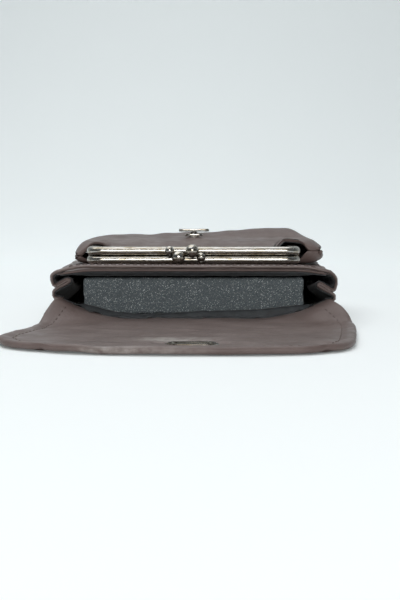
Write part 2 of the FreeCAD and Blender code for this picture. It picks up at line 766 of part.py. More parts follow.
tray = shell(tray_sections, seam_low, tray_round, 0, thick)
soft_piece("pouch_back", tray.fuse(across_sheet(ramp, channel_half)).removeSplitter())
lined_back = shell(tray_sections, seam_low, tray_round, skin_top, skin_top + skin)
soft_piece("pouch_back_lining", lined_back)

# Front leather between the legs of the moving half.
front_level = size("%s + dims.bar_wall + dims.mouth_margin / 2" % FRONT_HALF_LOW)
panel_end = size(HINGE) - size("dims.panel_setback")
panel_top = size(FRAME_MID) + size("dims.panel_rise")
panel_turn = size(CHANNEL_Y) + size("dims.panel_flat")
mouth_sheet = (
    (leather_in, front_level),
    (ramp_start, front_level),
    (panel_turn, panel_top - thick),
    (panel_end, panel_top - thick),
    (panel_end, panel_top),
    (panel_turn, panel_top),
    (ramp_start, front_level + thick),
    (leather_in, front_level + thick),
)
soft_piece("pouch_mouth_panel", across_sheet(mouth_sheet, channel_half))

# Turn lock on the pouch: backing plate and collar stay, the toggle turns in them.
plate_y = (
    "(%s - dims.plate_width / 2)" % LOCK_Y,
    "(%s + dims.plate_width / 2)" % LOCK_Y,
)
plate_low = "(%s - dims.plate_thick)" % LOCK_UNDER
plate_body = new_body("lock_plate")
plate_sketch = new_sketch(plate_body, "lock_plate_outline", "XY_Plane", plate_low)
plate_half = "(dims.plate_length / 2)"
draw_loop(plate_sketch, (
    (minus(plate_half), plate_y[0]),
    (plate_half, plate_y[0]),
    (plate_half, plate_y[1]),
    (minus(plate_half), plate_y[1]),
))
draw_circle(plate_sketch, ("0", LOCK_Y), "(dims.post_radius + dims.post_play)")
pad(plate_body, plate_sketch, "dims.plate_thick")
keep(plate_body, "lock_plate")

collar_body = new_body("lock_collar")
collar_sketch = new_sketch(collar_body, "lock_collar_outline", "XY_Plane", LOCK_SEAT)
draw_circle(collar_sketch, ("0", LOCK_Y), "dims.collar_radius")
draw_circle(collar_sketch, ("0", LOCK_Y), "(dims.post_radius + dims.post_play)")
pad(collar_body, collar_sketch, "dims.collar_thick")
keep(collar_body, "lock_collar")

toggle_low = "(%s + dims.toggle_lift)" % LOCK_SEAT
washer_high = "(%s - dims.post_play)" % plate_low
washer_low = "(%s - dims.washer_thick)" % washer_high
toggle_body = new_body("toggle")
toggle_sketch = new_sketch(toggle_body, "toggle_outline", "XY_Plane", toggle_low)
draw_loop(toggle_sketch, stadium("dims.toggle_length", "dims.toggle_width", LOCK_Y))
toggle_pad = pad(toggle_body, toggle_sketch, "dims.toggle_thick")
doc.recompute()
rims = []
for number, edge in enumerate(toggle_pad.Shape.Edges, start=1):
    if edge.BoundBox.ZLength < Part.Precision.confusion():
        rims.append("Edge%d" % number)
toggle_round = toggle_body.newObject("PartDesign::Fillet", "toggle_rims")
toggle_round.Base = (toggle_pad, rims)
toggle_round.setExpression("Radius", "dims.toggle_edge")
post_sketch = new_sketch(toggle_body, "toggle_post_outline", "XY_Plane", washer_low)
draw_circle(post_sketch, ("0", LOCK_Y), "dims.post_radius")
pad(toggle_body, post_sketch, "%s - %s + dims.toggle_edge" % (toggle_low, washer_low))
keep(toggle_body, "toggle")

washer_body = new_body("toggle_washer")
washer_sketch = new_sketch(washer_body, "toggle_washer_outline", "XY_Plane", washer_low)
draw_circle(washer_sketch, ("0", LOCK_Y), "dims.washer_radius")
draw_circle(washer_sketch, ("0", LOCK_Y), "dims.post_radius")
pad(washer_body, washer_sketch, "dims.washer_thick")
keep(washer_body, "toggle_washer")

# Flap: a bridge that stands in front of the mouth when shut, and a front with the lock slot.
flap_across = (minus(FLAP_HALF), FLAP_HALF)
fold_gap = "(dims.soft_gap / 2)"
bridge_y = ("(%s + %s)" % (FOLD, fold_gap), FLAP_EDGE)
keep(block("bridge_outer", flap_across, bridge_y, (FLAP_LOW, FLAP_MID)), "bridge_outer")
keep(block("bridge_inner", flap_across, bridge_y, (FLAP_MID, BACK_TOP)), "bridge_inner")

front_rear = "(%s - %s)" % (FOLD, fold_gap)
corner_x = "(%s - dims.flap_corner)" % FLAP_HALF
corner_y = "(%s + dims.flap_corner)" % FLAP_END
flare_x = "(%s + dims.flap_flare)" % FLAP_HALF
flare_y = "(%s - dims.flap_flare_run)" % FOLD
left_end = "(%s - dims.flap_left_corner)" % FLAP_HALF
flap_loop = (
    (minus(FLAP_HALF), front_rear),
    (minus(flare_x), flare_y, "dims.flap_left_round", 1),
    (minus(left_end), FLAP_END),
    (corner_x, FLAP_END, "dims.flap_corner", 1),
    (FLAP_HALF, corner_y),
    (FLAP_HALF, front_rear),
)
slot_loop = stadium("dims.slot_length", "dims.slot_width", SLOT_Y)
rim_grow = "(2 * dims.rim_wall)"
cut_grow = "(2 * dims.rim_wall + 2 * dims.rim_play)"
rim_loop = stadium("(dims.slot_length + %s)" % rim_grow, "(dims.slot_width + %s)" % rim_grow, SLOT_Y)
cut_loop = stadium("(dims.slot_length + %s)" % cut_grow, "(dims.slot_width + %s)" % cut_grow, SLOT_Y)
rivet_x = "(dims.rivet_spacing / 2)"
rivet_places = ((minus(rivet_x), SLOT_Y), (rivet_x, SLOT_Y))


def flap_sheet(label, low, thickness, outline, opening, riveted):
    body = new_body(label)
    sketch = new_sketch(body, label + "_outline", "XY_Plane", low)
    draw_loop(sketch, outline)
    draw_loop(sketch, opening)
    if riveted:
        for place in rivet_places:
            draw_circle(sketch, place, "dims.rivet_radius")
    pad(body, sketch, thickness)
    return keep(body, label)


flap_sheet("flap_outer", FLAP_LOW, "dims.flap_outer", flap_loop, cut_loop, True)
flap_sheet("flap_inner", FLAP_MID, "dims.flap_inner", flap_loop, cut_loop, False)
plate_level = "(%s - dims.escutcheon_thick)" % FLAP_LOW
plate_loop = stadium("dims.escutcheon_length", "dims.escutcheon_width", SLOT_Y)
slot_plate = flap_sheet("slot_plate", plate_level, "dims.escutcheon_thick", plate_loop, slot_loop, True)

# Rim of the slot plate, standing up through both layers of the flap.
rim_sketch = new_sketch(slot_plate, "slot_rim_outline", "XY_Plane", plate_level)
draw_loop(rim_sketch, rim_loop)
draw_loop(rim_sketch, slot_loop)
pad(slot_plate, rim_sketch, "%s - %s - dims.rim_sink" % (BACK_TOP, plate_level))

rivet_height = "(dims.escutcheon_thick + dims.flap_outer)"
for side, place in zip(("left", "right"), rivet_places):
    base = (place[0], place[1], plate_level)
    keep(drum(side + "_slot_rivet", "dims.rivet_radius", rivet_height, base), side + "_slot_rivet")

doc.recompute()

for piece in doc.Objects:
    trouble = [state for state in piece.State if state in ("Invalid", "Error")]
    if trouble:
        raise SystemExit("%s did not build: %s" % (piece.Label, trouble))
for piece in parts:
    if piece.Shape.isNull() or not piece.Shape.isValid() or not piece.Shape.Solids:
        raise SystemExit("%s has no sound shape" % piece.Label)

os.makedirs("parts", exist_ok=True)
for piece in parts:
    piece.Shape.exportStep(os.path.join("parts", piece.Label + ".step"))
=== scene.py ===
import math

import bpy
import numpy as np
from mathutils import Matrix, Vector


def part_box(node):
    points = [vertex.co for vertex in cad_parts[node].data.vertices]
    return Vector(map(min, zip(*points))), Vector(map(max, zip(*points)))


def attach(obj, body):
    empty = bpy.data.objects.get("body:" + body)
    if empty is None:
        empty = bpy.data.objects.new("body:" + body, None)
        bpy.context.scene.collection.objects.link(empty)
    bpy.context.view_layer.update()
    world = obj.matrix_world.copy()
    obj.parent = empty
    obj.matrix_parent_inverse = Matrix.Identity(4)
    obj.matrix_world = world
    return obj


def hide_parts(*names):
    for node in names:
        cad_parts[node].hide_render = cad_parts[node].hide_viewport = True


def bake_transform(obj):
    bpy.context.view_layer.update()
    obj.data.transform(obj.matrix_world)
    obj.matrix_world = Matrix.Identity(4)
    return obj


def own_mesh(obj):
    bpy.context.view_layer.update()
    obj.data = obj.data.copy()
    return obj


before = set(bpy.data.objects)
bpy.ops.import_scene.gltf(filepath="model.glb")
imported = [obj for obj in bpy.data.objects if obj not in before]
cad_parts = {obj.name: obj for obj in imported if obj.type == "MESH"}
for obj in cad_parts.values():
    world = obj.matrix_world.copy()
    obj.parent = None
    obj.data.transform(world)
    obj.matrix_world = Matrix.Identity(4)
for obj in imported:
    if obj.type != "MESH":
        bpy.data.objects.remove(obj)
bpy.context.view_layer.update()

# Lengths are millimetres until a mesh is made. X across, Y from the mouth to the closed end, Z up.
MM = 0.001
TINY = 1e-12
WAVE_SPREAD = (0.7, 1.5)
SPLINE_STEPS = 40


def node_box(name):
    low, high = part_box(name)
    return np.array(low) / MM, np.array(high) / MM


PANEL_LOW, PANEL_HIGH = node_box("back_panel")
BASE_LOW, BASE_HIGH = node_box("base_fold")
FOAM_LOW, FOAM_HIGH = node_box("foam_insert")
FRAME_LOW, FRAME_HIGH = node_box("front_frame")
COLLAR_LOW, COLLAR_HIGH = node_box("lock_collar")
BRIDGE_LOW, BRIDGE_HIGH = node_box("bridge_inner")
PLATE_LOW, PLATE_HIGH = node_box("slot_plate")
RIVET_LOW, RIVET_HIGH = node_box("right_slot_rivet")
LINING_HIGH = node_box("back_lining")[1]
CROWN_HIGH = node_box("pouch_crown")[1]
FLAP_HIGH = node_box("flap_inner")[1]
LOBE_HIGH = node_box("right_gusset_lower")[1]

# Lines and levels that several pieces share.
MOUTH = PANEL_LOW[1]
HALF_BODY = PANEL_HIGH[0]
HALF_FRAME = FRAME_HIGH[0]
HINGE_LINE = BRIDGE_HIGH[1]
FOLD_LINE = BRIDGE_LOW[1]
INNER_FACE = FLAP_HIGH[2]
SLOT_Y = (PLATE_LOW[1] + PLATE_HIGH[1]) / 2
LOCK_Y = (COLLAR_LOW[1] + COLLAR_HIGH[1]) / 2
RIVET_X = (RIVET_LOW[0] + RIVET_HIGH[0]) / 2
BASE_RADIUS = (BASE_HIGH[2] - BASE_LOW[2]) / 2
BASE_CENTRE = BASE_HIGH[1] - BASE_RADIUS
FRONT_SKIN = 2 * BASE_RADIUS
FLAP_TIP = -138.0
EDGE_ROLL = 1.5
SIDES = ((-1, "left"), (1, "right"))


# Curves and waves. Values below are (height, length, seed) for waves, (height, place, width) for ridges
# and (start, stop) for runs and reaches.

def smooth(value, start, stop):
    """Runs from 0 at start to 1 at stop with level ends."""
    t = np.clip((value - start) / (stop - start), 0, 1)
    return t * t * (3 - 2 * t)


def mix(a, b, share):
    return a + (b - a) * share


def hill(distance, radius):
    return np.exp(-(distance / radius) ** 2)


def ridge(distance, height, place, width):
    return height * hill(distance - place, width)


def unit(vectors):
    return vectors / np.maximum(np.linalg.norm(vectors, axis=-1, keepdims=True), TINY)


def path_lengths(path):
    """Length of a path from its start to each of its points."""
    return np.concatenate([[0], np.cumsum(np.linalg.norm(np.diff(path, axis=0), axis=1))])


def along_path(path, lengths, at):
    return np.stack([np.interp(at, lengths, path[:, k]) for k in range(path.shape[1])], axis=1)


def curve(stations, values):
    """Smooth curve through given points that never overshoots them."""
    xs = np.array(stations, float)
    ys = np.array(values, float)
    step = np.diff(xs)
    slope = np.diff(ys) / step
    tangent = np.zeros(len(xs))
    tangent[0] = slope[0]
    tangent[-1] = slope[-1]
    for i in range(1, len(xs) - 1):
        if slope[i - 1] * slope[i] > 0:
            tangent[i] = 2 * slope[i - 1] * slope[i] / (slope[i - 1] + slope[i])

    def at(value):
        value = np.clip(value, xs[0], xs[-1])
        i = np.clip(np.searchsorted(xs, value) - 1, 0, len(step) - 1)
        t = (value - xs[i]) / step[i]
        first = ys[i] * (1 + 2 * t) * (1 - t) ** 2 + tangent[i] * step[i] * t * (1 - t) ** 2
        last = ys[i + 1] * (3 - 2 * t) * t ** 2 + tangent[i + 1] * step[i] * t ** 2 * (t - 1)
        return first + last

    return at


def spline(points, count):
    """Evenly stepped Catmull-Rom curve through a short list of points."""
    p = np.array(points, float)
    p = np.vstack([2 * p[0] - p[1], p, 2 * p[-1] - p[-2]])
    t = np.linspace(0, len(points) - 1, SPLINE_STEPS * len(points))
    i = np.minimum(t.astype(int), len(points) - 2)
    f = (t - i)[:, None]
    a, b, c, d = p[i], p[i + 1], p[i + 2], p[i + 3]
    bend = (2 * a - 5 * b + 4 * c - d) * f ** 2 + (3 * b - a - 3 * c + d) * f ** 3
    path = 0.5 * (2 * b + (c - a) * f + bend)
    lengths = path_lengths(path)
    return along_path(path, lengths, np.linspace(0, lengths[-1], count))


def ripple(x, y, height, length, seed, waves=9):
    """Gentle random waves, the same on every run."""
    draw = np.random.default_rng(seed)
    total = np.zeros(np.broadcast(x, y).shape)
    for _ in range(waves):
        angle = draw.uniform(0, 2 * math.pi)
        number = 2 * math.pi / (length * draw.uniform(*WAVE_SPREAD))
        phase = draw.uniform(0, 2 * math.pi)
        total += np.sin(number * (x * math.cos(angle) + y * math.sin(angle)) + phase)
    return height * (total / math.sqrt(waves / 2))


# Meshes

def grid_faces(rows, columns):
    i, j = np.meshgrid(np.arange(rows - 1), np.arange(columns - 1), indexing="ij")
    a = (i * columns + j).ravel()
    return np.stack([a, a + 1, a + columns + 1, a + columns], axis=1)


def ring_faces(rings, steps, closed=False):
    """Faces between rings of points that follow one another."""
    here = np.arange(steps)
    ahead = np.roll(here, -1)
    faces = []
    for ring in range(rings if closed else rings - 1):
        a = ring * steps
        b = (ring + 1) % rings * steps
        faces.append(np.stack([a + here, a + ahead, b + ahead, b + here], axis=1))
    return np.vstack(faces)


def sheet(x, y, z, turned=False):
    """Surface through a grid of places."""
    points = np.stack(np.broadcast_arrays(x, y, z), axis=2)
    faces = grid_faces(*points.shape[:2])
    return points.reshape(-1, 3), faces[:, ::-1] if turned else faces


def joined(parts):
    """Several meshes as one."""
    starts = np.cumsum([0] + [len(points) for points, _ in parts])
    faces = [quads + start for (_, quads), start in zip(parts, starts)]
    return np.vstack([points for points, _ in parts]), np.vstack(faces)


def trimmed(points, faces):
    """Only the points that the faces use."""
    used, flat = np.unique(faces, return_inverse=True)
    return points[used], flat.reshape(-1, 4)


def per_point(value, count):
    return np.broadcast_to(np.asarray(value, float), (count,))[:, None]


def vertex_normals(points, faces):
    a, b, c, d = (points[faces[:, k]] for k in range(4))
    flat = np.cross(c - a, d - b)
    normals = np.zeros_like(points)
    for k in range(4):
        np.add.at(normals, faces[:, k], flat)
    return unit(normals)


def rim_edges(faces):
    """Edges that only one face has, in a fixed order."""
    edges = np.concatenate([faces[:, [k, (k + 1) % 4]] for k in range(4)])
    edges = edges[edges[:, 0] != edges[:, 1]]
    known = set(map(tuple, edges.tolist()))
    rim = np.array([edge for edge in known if edge[::-1] not in known])
    return rim[np.lexsort((rim[:, 1], rim[:, 0]))]


def rim_outward(points, normals, rim):
    """Directions away from the sheet along its rim."""
    along = points[rim[:, 1]] - points[rim[:, 0]]
    away = np.zeros_like(points)
    for k in range(2):
        np.add.at(away, rim[:, k], unit(np.cross(along, normals[rim[:, k]])))
    return unit(away)


def thicken(points, faces, top, bottom, steps=4):
    """Closed sheet with round edges between two distances along the normals of a surface."""
    count = len(points)
    top = per_point(top, count)
    bottom = per_point(bottom, count)
    normals = vertex_normals(points, faces)
    rim = rim_edges(faces)
    edge = np.unique(rim)
    order = np.searchsorted(edge, rim)
    upward = normals[edge]
    outward = rim_outward(points, normals, rim)[edge]
    middle = (points + normals * (top + bottom) / 2)[edge]
    radius = (np.abs(top - bottom) / 2)[edge]
    layers = [points + normals * top, points + normals * bottom]
    rows = [rim]
    for step in range(1, steps):
        angle = math.pi * step / steps
        layers.append(middle + radius * (math.cos(angle) * upward + math.sin(angle) * outward))
        rows.append(2 * count + (step - 1) * len(edge) + order)
    rows.append(rim + count)
    shell = [faces, faces[:, ::-1] + count]
    for upper, lower in zip(rows[:-1], rows[1:]):
        shell.append(np.stack([upper[:, 1], upper[:, 0], lower[:, 0], lower[:, 1]], axis=1))
    return np.vstack(layers), np.vstack(shell)


# Rounded end of a strip: shares of its size, and how far each ring lies past the end.
TUBE_END = ((0.85, 0.5), (0.45, 0.9))


def tube(path, across, along, steps):
    """Oval strip along a path; across and along are its two half sizes at each point."""
    count = len(path)
    across = per_point(across, count)
    along = per_point(along, count)
    direction = unit(np.gradient(path, axis=0))
    depth = np.tile([0.0, 1.0, 0.0], (count, 1))
    depth = unit(depth - direction * np.sum(depth * direction, axis=1, keepdims=True))
    side = np.cross(direction, depth)
    rings = [(share, -shift, 0) for share, shift in TUBE_END[::-1]]
    rings += [(1.0, 0.0, k) for k in range(count)]
    rings += [(share, shift, count - 1) for share, shift in TUBE_END]
    angle = 2 * math.pi * np.arange(steps)[:, None] / steps
    points = []
    for share, shift, k in rings:
        centre = path[k] + direction[k] * shift * across[k]
        swing = side[k] * across[k] * np.cos(angle) + depth[k] * along[k] * np.sin(angle)
        points.append(centre + share * swing)
    step = np.arange(steps // 2 - 1)
    cap = np.stack([step, step + 1, steps - 2 - step, steps - 1 - step], axis=1)
    last = (len(rings) - 1) * steps
    return np.vstack(points), np.vstack([ring_faces(len(rings), steps), cap[:, ::-1], cap + last])


def make(name, points, faces, material, normals=None):
    mesh = bpy.data.meshes.new(name)
    mesh.from_pydata((points * MM).tolist(), [], faces.tolist())
    mesh.polygons.foreach_set("use_smooth", [True] * len(mesh.polygons))
    mesh.materials.append(material)
    mesh.update()
    if normals is not None:
        mesh.normals_split_custom_set_from_vertices(normals.tolist())
    piece = bpy.data.objects.new(name, mesh)
    bpy.context.scene.collection.objects.link(piece)
    return piece


def make_split(names, points, faces, labels, material):
    """One piece per label, shaded as the whole surface so that the joins don't show."""
    both = np.hstack([points, vertex_normals(points, faces)])
    pieces = []
    for label, name in enumerate(names):
        mine, quads = trimmed(both, faces[labels == label])
        pieces.append(make(name, mine[:, :3], quads, material, mine[:, 3:]))
    return pieces


# Materials

class Graph:
    """Shader nodes of one node tree; sizes are millimetres."""

    def __init__(self, tree, coordinates="Object"):
        self.nodes = tree.nodes
        self.links = tree.links
        self.place = tree.nodes.new("ShaderNodeTexCoord").outputs[coordinates]

    def feed(self, node, sources, values):
        """Links or fixes inputs of a node."""
        for key, source in sources.items():
            self.links.new(source, node.inputs[key])
        for key, value in dict(values).items():
            node.inputs[key].default_value = value

    def shade(self, sources, values):
        self.feed(self.nodes["Principled BSDF"], sources, values)

    def add(self, kind, sources, values=(), **settings):
        """Outputs of a new node with its settings and inputs."""
        node = self.nodes.new(kind)
        for key, value in settings.items():
            setattr(node, key, value)
        self.feed(node, sources, values)
        return node.outputs

    def noise(self, size, detail=3.0, roughness=0.5, place=None):
        source = self.place if place is None else place
        values = {"Scale": 1 / (size * MM), "Detail": detail, "Roughness": roughness}
        return self.add("ShaderNodeTexNoise", {"Vector": source}, values)["Fac"]

    def cells(self, size, output="Distance"):
        return self.add("ShaderNodeTexVoronoi", {"Vector": self.place}, {"Scale": 1 / (size * MM)})[output]

    def ramp(self, value, *stops):
        """Colours between stops, each a position and a colour or a grey."""
        ramp = self.nodes.new("ShaderNodeValToRGB")
        elements = ramp.color_ramp.elements
        while len(elements) < len(stops):
            elements.new(0.5)
        for element, (position, colour) in zip(elements, stops):
            element.position = position
            element.color = (*np.broadcast_to(colour, 3), 1)
        self.links.new(value, ramp.inputs["Fac"])
        return ramp.outputs["Color"]

    def bump(self, height, strength, distance, under=None):
        sources = {"Height": height}
        if under is not None:
            sources["Normal"] = under
        values = {"Strength": strength, "Distance": distance * MM}
        return self.add("ShaderNodeBump", sources, values)["Normal"]

    def vector(self, operation, first, second):
        return self.add("ShaderNodeVectorMath", {0: first}, {1: second}, operation=operation)["Vector"]

    def spot(self, centre, size):
        """1 in the middle of an oval spot, 0 outside it."""
        offset = self.vector("SUBTRACT", self.place, np.array(centre) * MM)
        scaled = self.vector("DIVIDE", offset, np.array(size) * MM)
        length = self.add("ShaderNodeVectorMath", {0: scaled}, operation="LENGTH")["Value"]
        return self.ramp(length, (0.25, 1), (1.0, 0))

    def rubbed_and_sheen(self, colour, spots, pale):
        """Colour with pale spots broken up by fine noise, for rubbed wear and for painted sheen along the
        flap's front edge.
        """
        broken = self.ramp(self.noise(size=4.0, detail=4.0, roughness=0.6), (0.3, 0), (0.72, 0.9))
        for centre, size in spots:
            factors = {0: self.spot(centre, size), 1: broken}
            share = self.add("ShaderNodeMath", factors, operation="MULTIPLY")["Value"]
            colours = {0: share, 6: colour}
            colour = self.add("ShaderNodeMix", colours, {7: (*pale, 1)}, data_type="RGBA")[2]
        return colour


def new_material(name):
    material = bpy.data.materials.new(name)
    material.use_nodes = True
    return material, Graph(material.node_tree)


BROWN = ((0.112, 0.081, 0.073), (0.15, 0.113, 0.104))
# Edge browns: lighter than the body leather, partly for wear and partly as a painted highlight.
WORN_AND_HIGHLIGHT_BROWN = ((0.1, 0.072, 0.064), (0.185, 0.145, 0.134))
# Pale colour of the flap's spots: rubbed wear above the slot, painted sheen along the front edge.
PALE_RUB_AND_SHEEN = (0.4, 0.37, 0.345)
LINING_BLACK = ((0.014, 0.016, 0.018), (0.032, 0.037, 0.04))
FOAM_GREYS = (
    (0.0, (0.075, 0.091, 0.098)), (0.6, (0.11, 0.131, 0.14)),
    (0.94, (0.165, 0.19, 0.2)), (0.985, (0.66, 0.7, 0.7)),
)
NICKEL_STAINS = ((0.32, (0.17, 0.14, 0.095)), (0.42, (0.32, 0.285, 0.225)), (0.56, (0.43, 0.415, 0.39)))
NICKEL_STRETCH = (0.14, 1.0, 1.0)
WORN_POLISH = 0.14
SPECK_SHARE = 0.8
THREAD_BROWN = (0.12, 0.085, 0.075)
PAPER_BROWN = (0.45, 0.36, 0.24)

# Pale spots on the flap, each a middle and a half size: a rubbed patch above the slot, and a painted sheen
# along the front edge.
RUB_AND_SHEEN_SPOTS = (
    ((-6.0, SLOT_Y + 8.5, INNER_FACE), (20.0, 8.0, 4.0)),
    ((-30.0, FLAP_TIP + EDGE_ROLL, 1.8), (42.0, 4.0, 2.2)),
)


def leather_material(name, browns, matt, shine, spots=()):
    material, graph = new_material(name)
    dark, light = browns
    patches = graph.noise(size=14.0, detail=4.0, roughness=0.6)
    colour = graph.ramp(patches, (0.32, dark), (0.68, light))
    if spots:
        colour = graph.rubbed_and_sheen(colour, spots, PALE_RUB_AND_SHEEN)
    worn = graph.ramp(graph.noise(size=5.0), (0.3, matt - WORN_POLISH), (0.7, matt))
    wrinkles = graph.noise(size=3.2, detail=4.0, roughness=0.65)
    creases = graph.bump(wrinkles, strength=0.35, distance=0.25)
    grain = graph.bump(graph.cells(size=0.75), strength=0.35, distance=0.12, under=creases)
    graph.shade({"Base Color": colour, "Roughness": worn, "Normal": grain}, {"Specular IOR Level": shine})
    return material


def lining_material():
    material, graph = new_material("lining_fabric")
    dark, light = LINING_BLACK
    colour = graph.ramp(graph.noise(size=4.0), (0.3, dark), (0.7, light))
    weave = graph.bump(graph.cells(size=0.35), strength=0.25, distance=0.06)
    crumple = graph.bump(graph.noise(size=2.6), strength=0.6, distance=0.45, under=weave)
    graph.shade({"Base Color": colour, "Normal": crumple}, {"Roughness": 0.52, "Sheen Weight": 0.12})
    return material


def foam_material():
    material, graph = new_material("foam_speckled")
    cells = graph.cells(size=0.22, output="Color")
    pick = graph.add("ShaderNodeSeparateColor", {"Color": cells})["Red"]
    colour = graph.ramp(pick, *FOAM_GREYS)
    pores = graph.bump(graph.cells(size=0.42), strength=0.5, distance=0.2)
    graph.shade({"Base Color": colour, "Normal": pores}, {"Roughness": 0.9, "Specular IOR Level": 0.2})
    return material


def nickel_material():
    material, graph = new_material("nickel")
    stretched = graph.vector("MULTIPLY", graph.place, NICKEL_STRETCH)
    stains = graph.noise(size=0.9, detail=5.0, roughness=0.7, place=stretched)
    colour = graph.ramp(stains, *NICKEL_STAINS)
    worn = graph.ramp(graph.noise(size=0.5, place=stretched), (0.35, 0.14), (0.7, 0.3))
    dents = graph.bump(graph.noise(size=2.2, detail=2.0), strength=0.12, distance=0.12)
    graph.shade({"Base Color": colour, "Roughness": worn, "Normal": dents}, {"Metallic": 1.0})
    return material


def plain_material(name, colour, roughness):
    material, graph = new_material(name)
    darker = tuple(SPECK_SHARE * c for c in colour)
    specks = graph.ramp(graph.noise(size=0.8, detail=2.0), (0.3, darker), (0.7, colour))
    graph.shade({"Base Color": specks}, {"Roughness": roughness})
    return material


LEATHER = leather_material("leather_brown", BROWN, matt=0.54, shine=0.28)
# Flap leather with pale spots: rubbed wear above the slot, painted sheen along the front edge.
RUBBED_AND_SHEEN = leather_material("leather_rubbed_and_sheen", BROWN, matt=0.54, shine=0.28, spots=RUB_AND_SHEEN_SPOTS)
# Edge leather: glossier, and lighter partly for wear and partly as a painted highlight.
POLISHED_WITH_HIGHLIGHT = leather_material("leather_worn_edge_and_highlight", WORN_AND_HIGHLIGHT_BROWN, matt=0.42, shine=0.55)
LINING = lining_material()
FOAM = foam_material()
NICKEL = nickel_material()
THREAD = plain_material("thread_brown", THREAD_BROWN, roughness=0.7)
CORD = plain_material("paper_cord", PAPER_BROWN, roughness=0.9)

METAL_NODES = (
    "rear_frame", "front_frame", "rear_large_ball", "rear_small_ball", "front_large_ball",
    "front_small_ball", "left_hinge_pin", "right_hinge_pin", "toggle", "toggle_washer", "lock_plate",
    "lock_collar", "slot_plate", "left_slot_rivet", "right_slot_rivet",
)
CORD_NODES = ("rear_channel_cord", "front_channel_cord")
for names, material in ((METAL_NODES, NICKEL), (CORD_NODES, CORD)):
    for name in names:
        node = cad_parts[name]
        node.data.materials.clear()
        node.data.materials.append(material)


# Lift of the two mouth corners (left, right), where the soft body curls up off the table.
CORNER_LIFT = (9.2, 8.2)
LIFT_START = 30.0
LIFT_POWER = 1.7
LIFT_LIMIT = 1.15
LIFT_BEFORE_FOAM = (0.2, -4.0)
LIFT_BESIDE_FOAM = (34.0, 4.0)
FOAM_SIDE = (0.5, 4.5)
LIFT_ON_FLAP = (1.0, 21.0)


def corner_lift(x, y):
    """Height of the back above the table near the mouth, with the flap root on one side of it."""
    reach = np.abs(x)
    rise = np.clip((reach - LIFT_START) / (HALF_BODY - LIFT_START), 0, LIFT_LIMIT)
    before_foam = smooth(y - FOAM_LOW[1], *LIFT_BEFORE_FOAM)
    beside_foam = smooth(y - MOUTH, *LIFT_BESIDE_FOAM)
    inside = mix(before_foam, beside_foam, smooth(reach - FOAM_HIGH[0], *FOAM_SIDE))
    outside = 1 - smooth(MOUTH - y, *LIFT_ON_FLAP)
    return np.where(x < 0, *CORNER_LIFT) * rise ** LIFT_POWER * inside * outside


# Body: leather and lining turned from the back round the closed end to the front wall.
# A span is how far inside the mouth a sheet starts on the back and stops on the front wall.
BODY_COLUMNS = 73
BACK_ROWS = 56
TURN_ROWS = 34
ROW_POWER = 1.7
BASE_FLARE = (2.5, 3.4)
FLARE_START = -12.0
SIDE_BLEND = 3.0
DROOP = 1.5
DROOP_POWER = 1.5
DROOP_INSIDE = 22.0
DROOP_REACH = (42.0, 60.0)
WALL_WAVES = (0.12, 24.0, 5)
LEATHER_SPAN = (3.0, 2.0)
LEATHER_INSET = 0.05
FRONT_THICKNESS = 1.15
BACK_THICKNESS = 1.85
THICKNESS_BLEND = 6.0


def body_profile(span, inset):
    """Depths and heights along the sheet, inset from the outer skin."""
    share = np.linspace(0, 1, BACK_ROWS) ** ROW_POWER
    back = mix(MOUTH + span[0], BASE_CENTRE, share)
    front = mix(MOUTH + span[1], BASE_CENTRE, share[::-1])
    turn = np.linspace(-math.pi / 2, math.pi / 2, TURN_ROWS)[1:-1]
    radius = BASE_RADIUS - inset
    level = np.full(BACK_ROWS, inset)
    y = np.concatenate([back, BASE_CENTRE + radius * np.cos(turn), front])
    z = np.concatenate([level, BASE_RADIUS + radius * np.sin(turn), FRONT_SKIN - level])
    return y[:, None], z[:, None]


def body_surface(span, inset, half):
    y, z = body_profile(span, inset)
    across = np.linspace(-1, 1, BODY_COLUMNS)
    flare = np.where(across < 0, *BASE_FLARE)
    x = across * (half + flare * smooth(y, FLARE_START, BASE_CENTRE))
    upper = smooth(z - BASE_RADIUS, -SIDE_BLEND, SIDE_BLEND)
    near = smooth(y - MOUTH, DROOP_INSIDE, 0.0)
    droop = DROOP * near * smooth(np.abs(x), *DROOP_REACH) ** DROOP_POWER
    z = z + (1 - upper) * corner_lift(x, y) - upper * droop
    z += ripple(x, y, *WALL_WAVES) * upper * (1 - near)
    return sheet(x, y, z, turned=True)


def body_piece(name, shell, material):
    """Soft piece of the body, with its transform baked into its mesh."""
    piece = make(name, *shell, material)
    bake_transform(piece)
    return piece


def body_leather():
    points, faces = body_surface(LEATHER_SPAN, LEATHER_INSET, HALF_BODY)
    low = smooth(points[:, 2] - BASE_RADIUS, THICKNESS_BLEND, -THICKNESS_BLEND)
    shell = thicken(points, faces, 0.0, -mix(FRONT_THICKNESS, BACK_THICKNESS, low))
    piece = body_piece("body_leather", shell, LEATHER)
    caps = ("left_base_cap", "right_base_cap")
    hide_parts("back_panel", "back_stiffener", "base_fold", "front_panel", *caps)


# Lining of the body, with a ragged edge, a fold before the foam and a padded ceiling.
LINING_SPAN = (0.2, 1.6)
LINING_INSET = 1.45
LINING_OVERHANG = 1.2
LINING_LAYER = (0.2, -0.25)
LINING_BLEND = 4.0
LINING_RAISE = 0.5
RAGGED_RUN = (9.0, -2.0)
RAGGED_SHIFT = 0.3
RAGGED_WAVES = ((0.5, 26.0, 11), (0.3, 7.0, 12))
CORNER_SETBACK = 6.0
CORNER_REACH = (45.0, 55.0)
LINING_FOLD_PLACE = 5.2
LINING_FOLD_WIDTH = 2.3
LINING_FOLD_REACH = (47.0, 55.0)
LINING_FOLD = curve(
    (-56.0, -49.0, -33.0, -22.0, 4.0, 26.0, 47.0, 56.0),
    (9.4, 8.4, 4.5, 3.7, 4.9, 5.6, 7.7, 9.0),
)
LINING_RIDGE = (0.6, 1.1, 0.9)
LINING_GROOVE = (0.55, 2.7, 0.8)
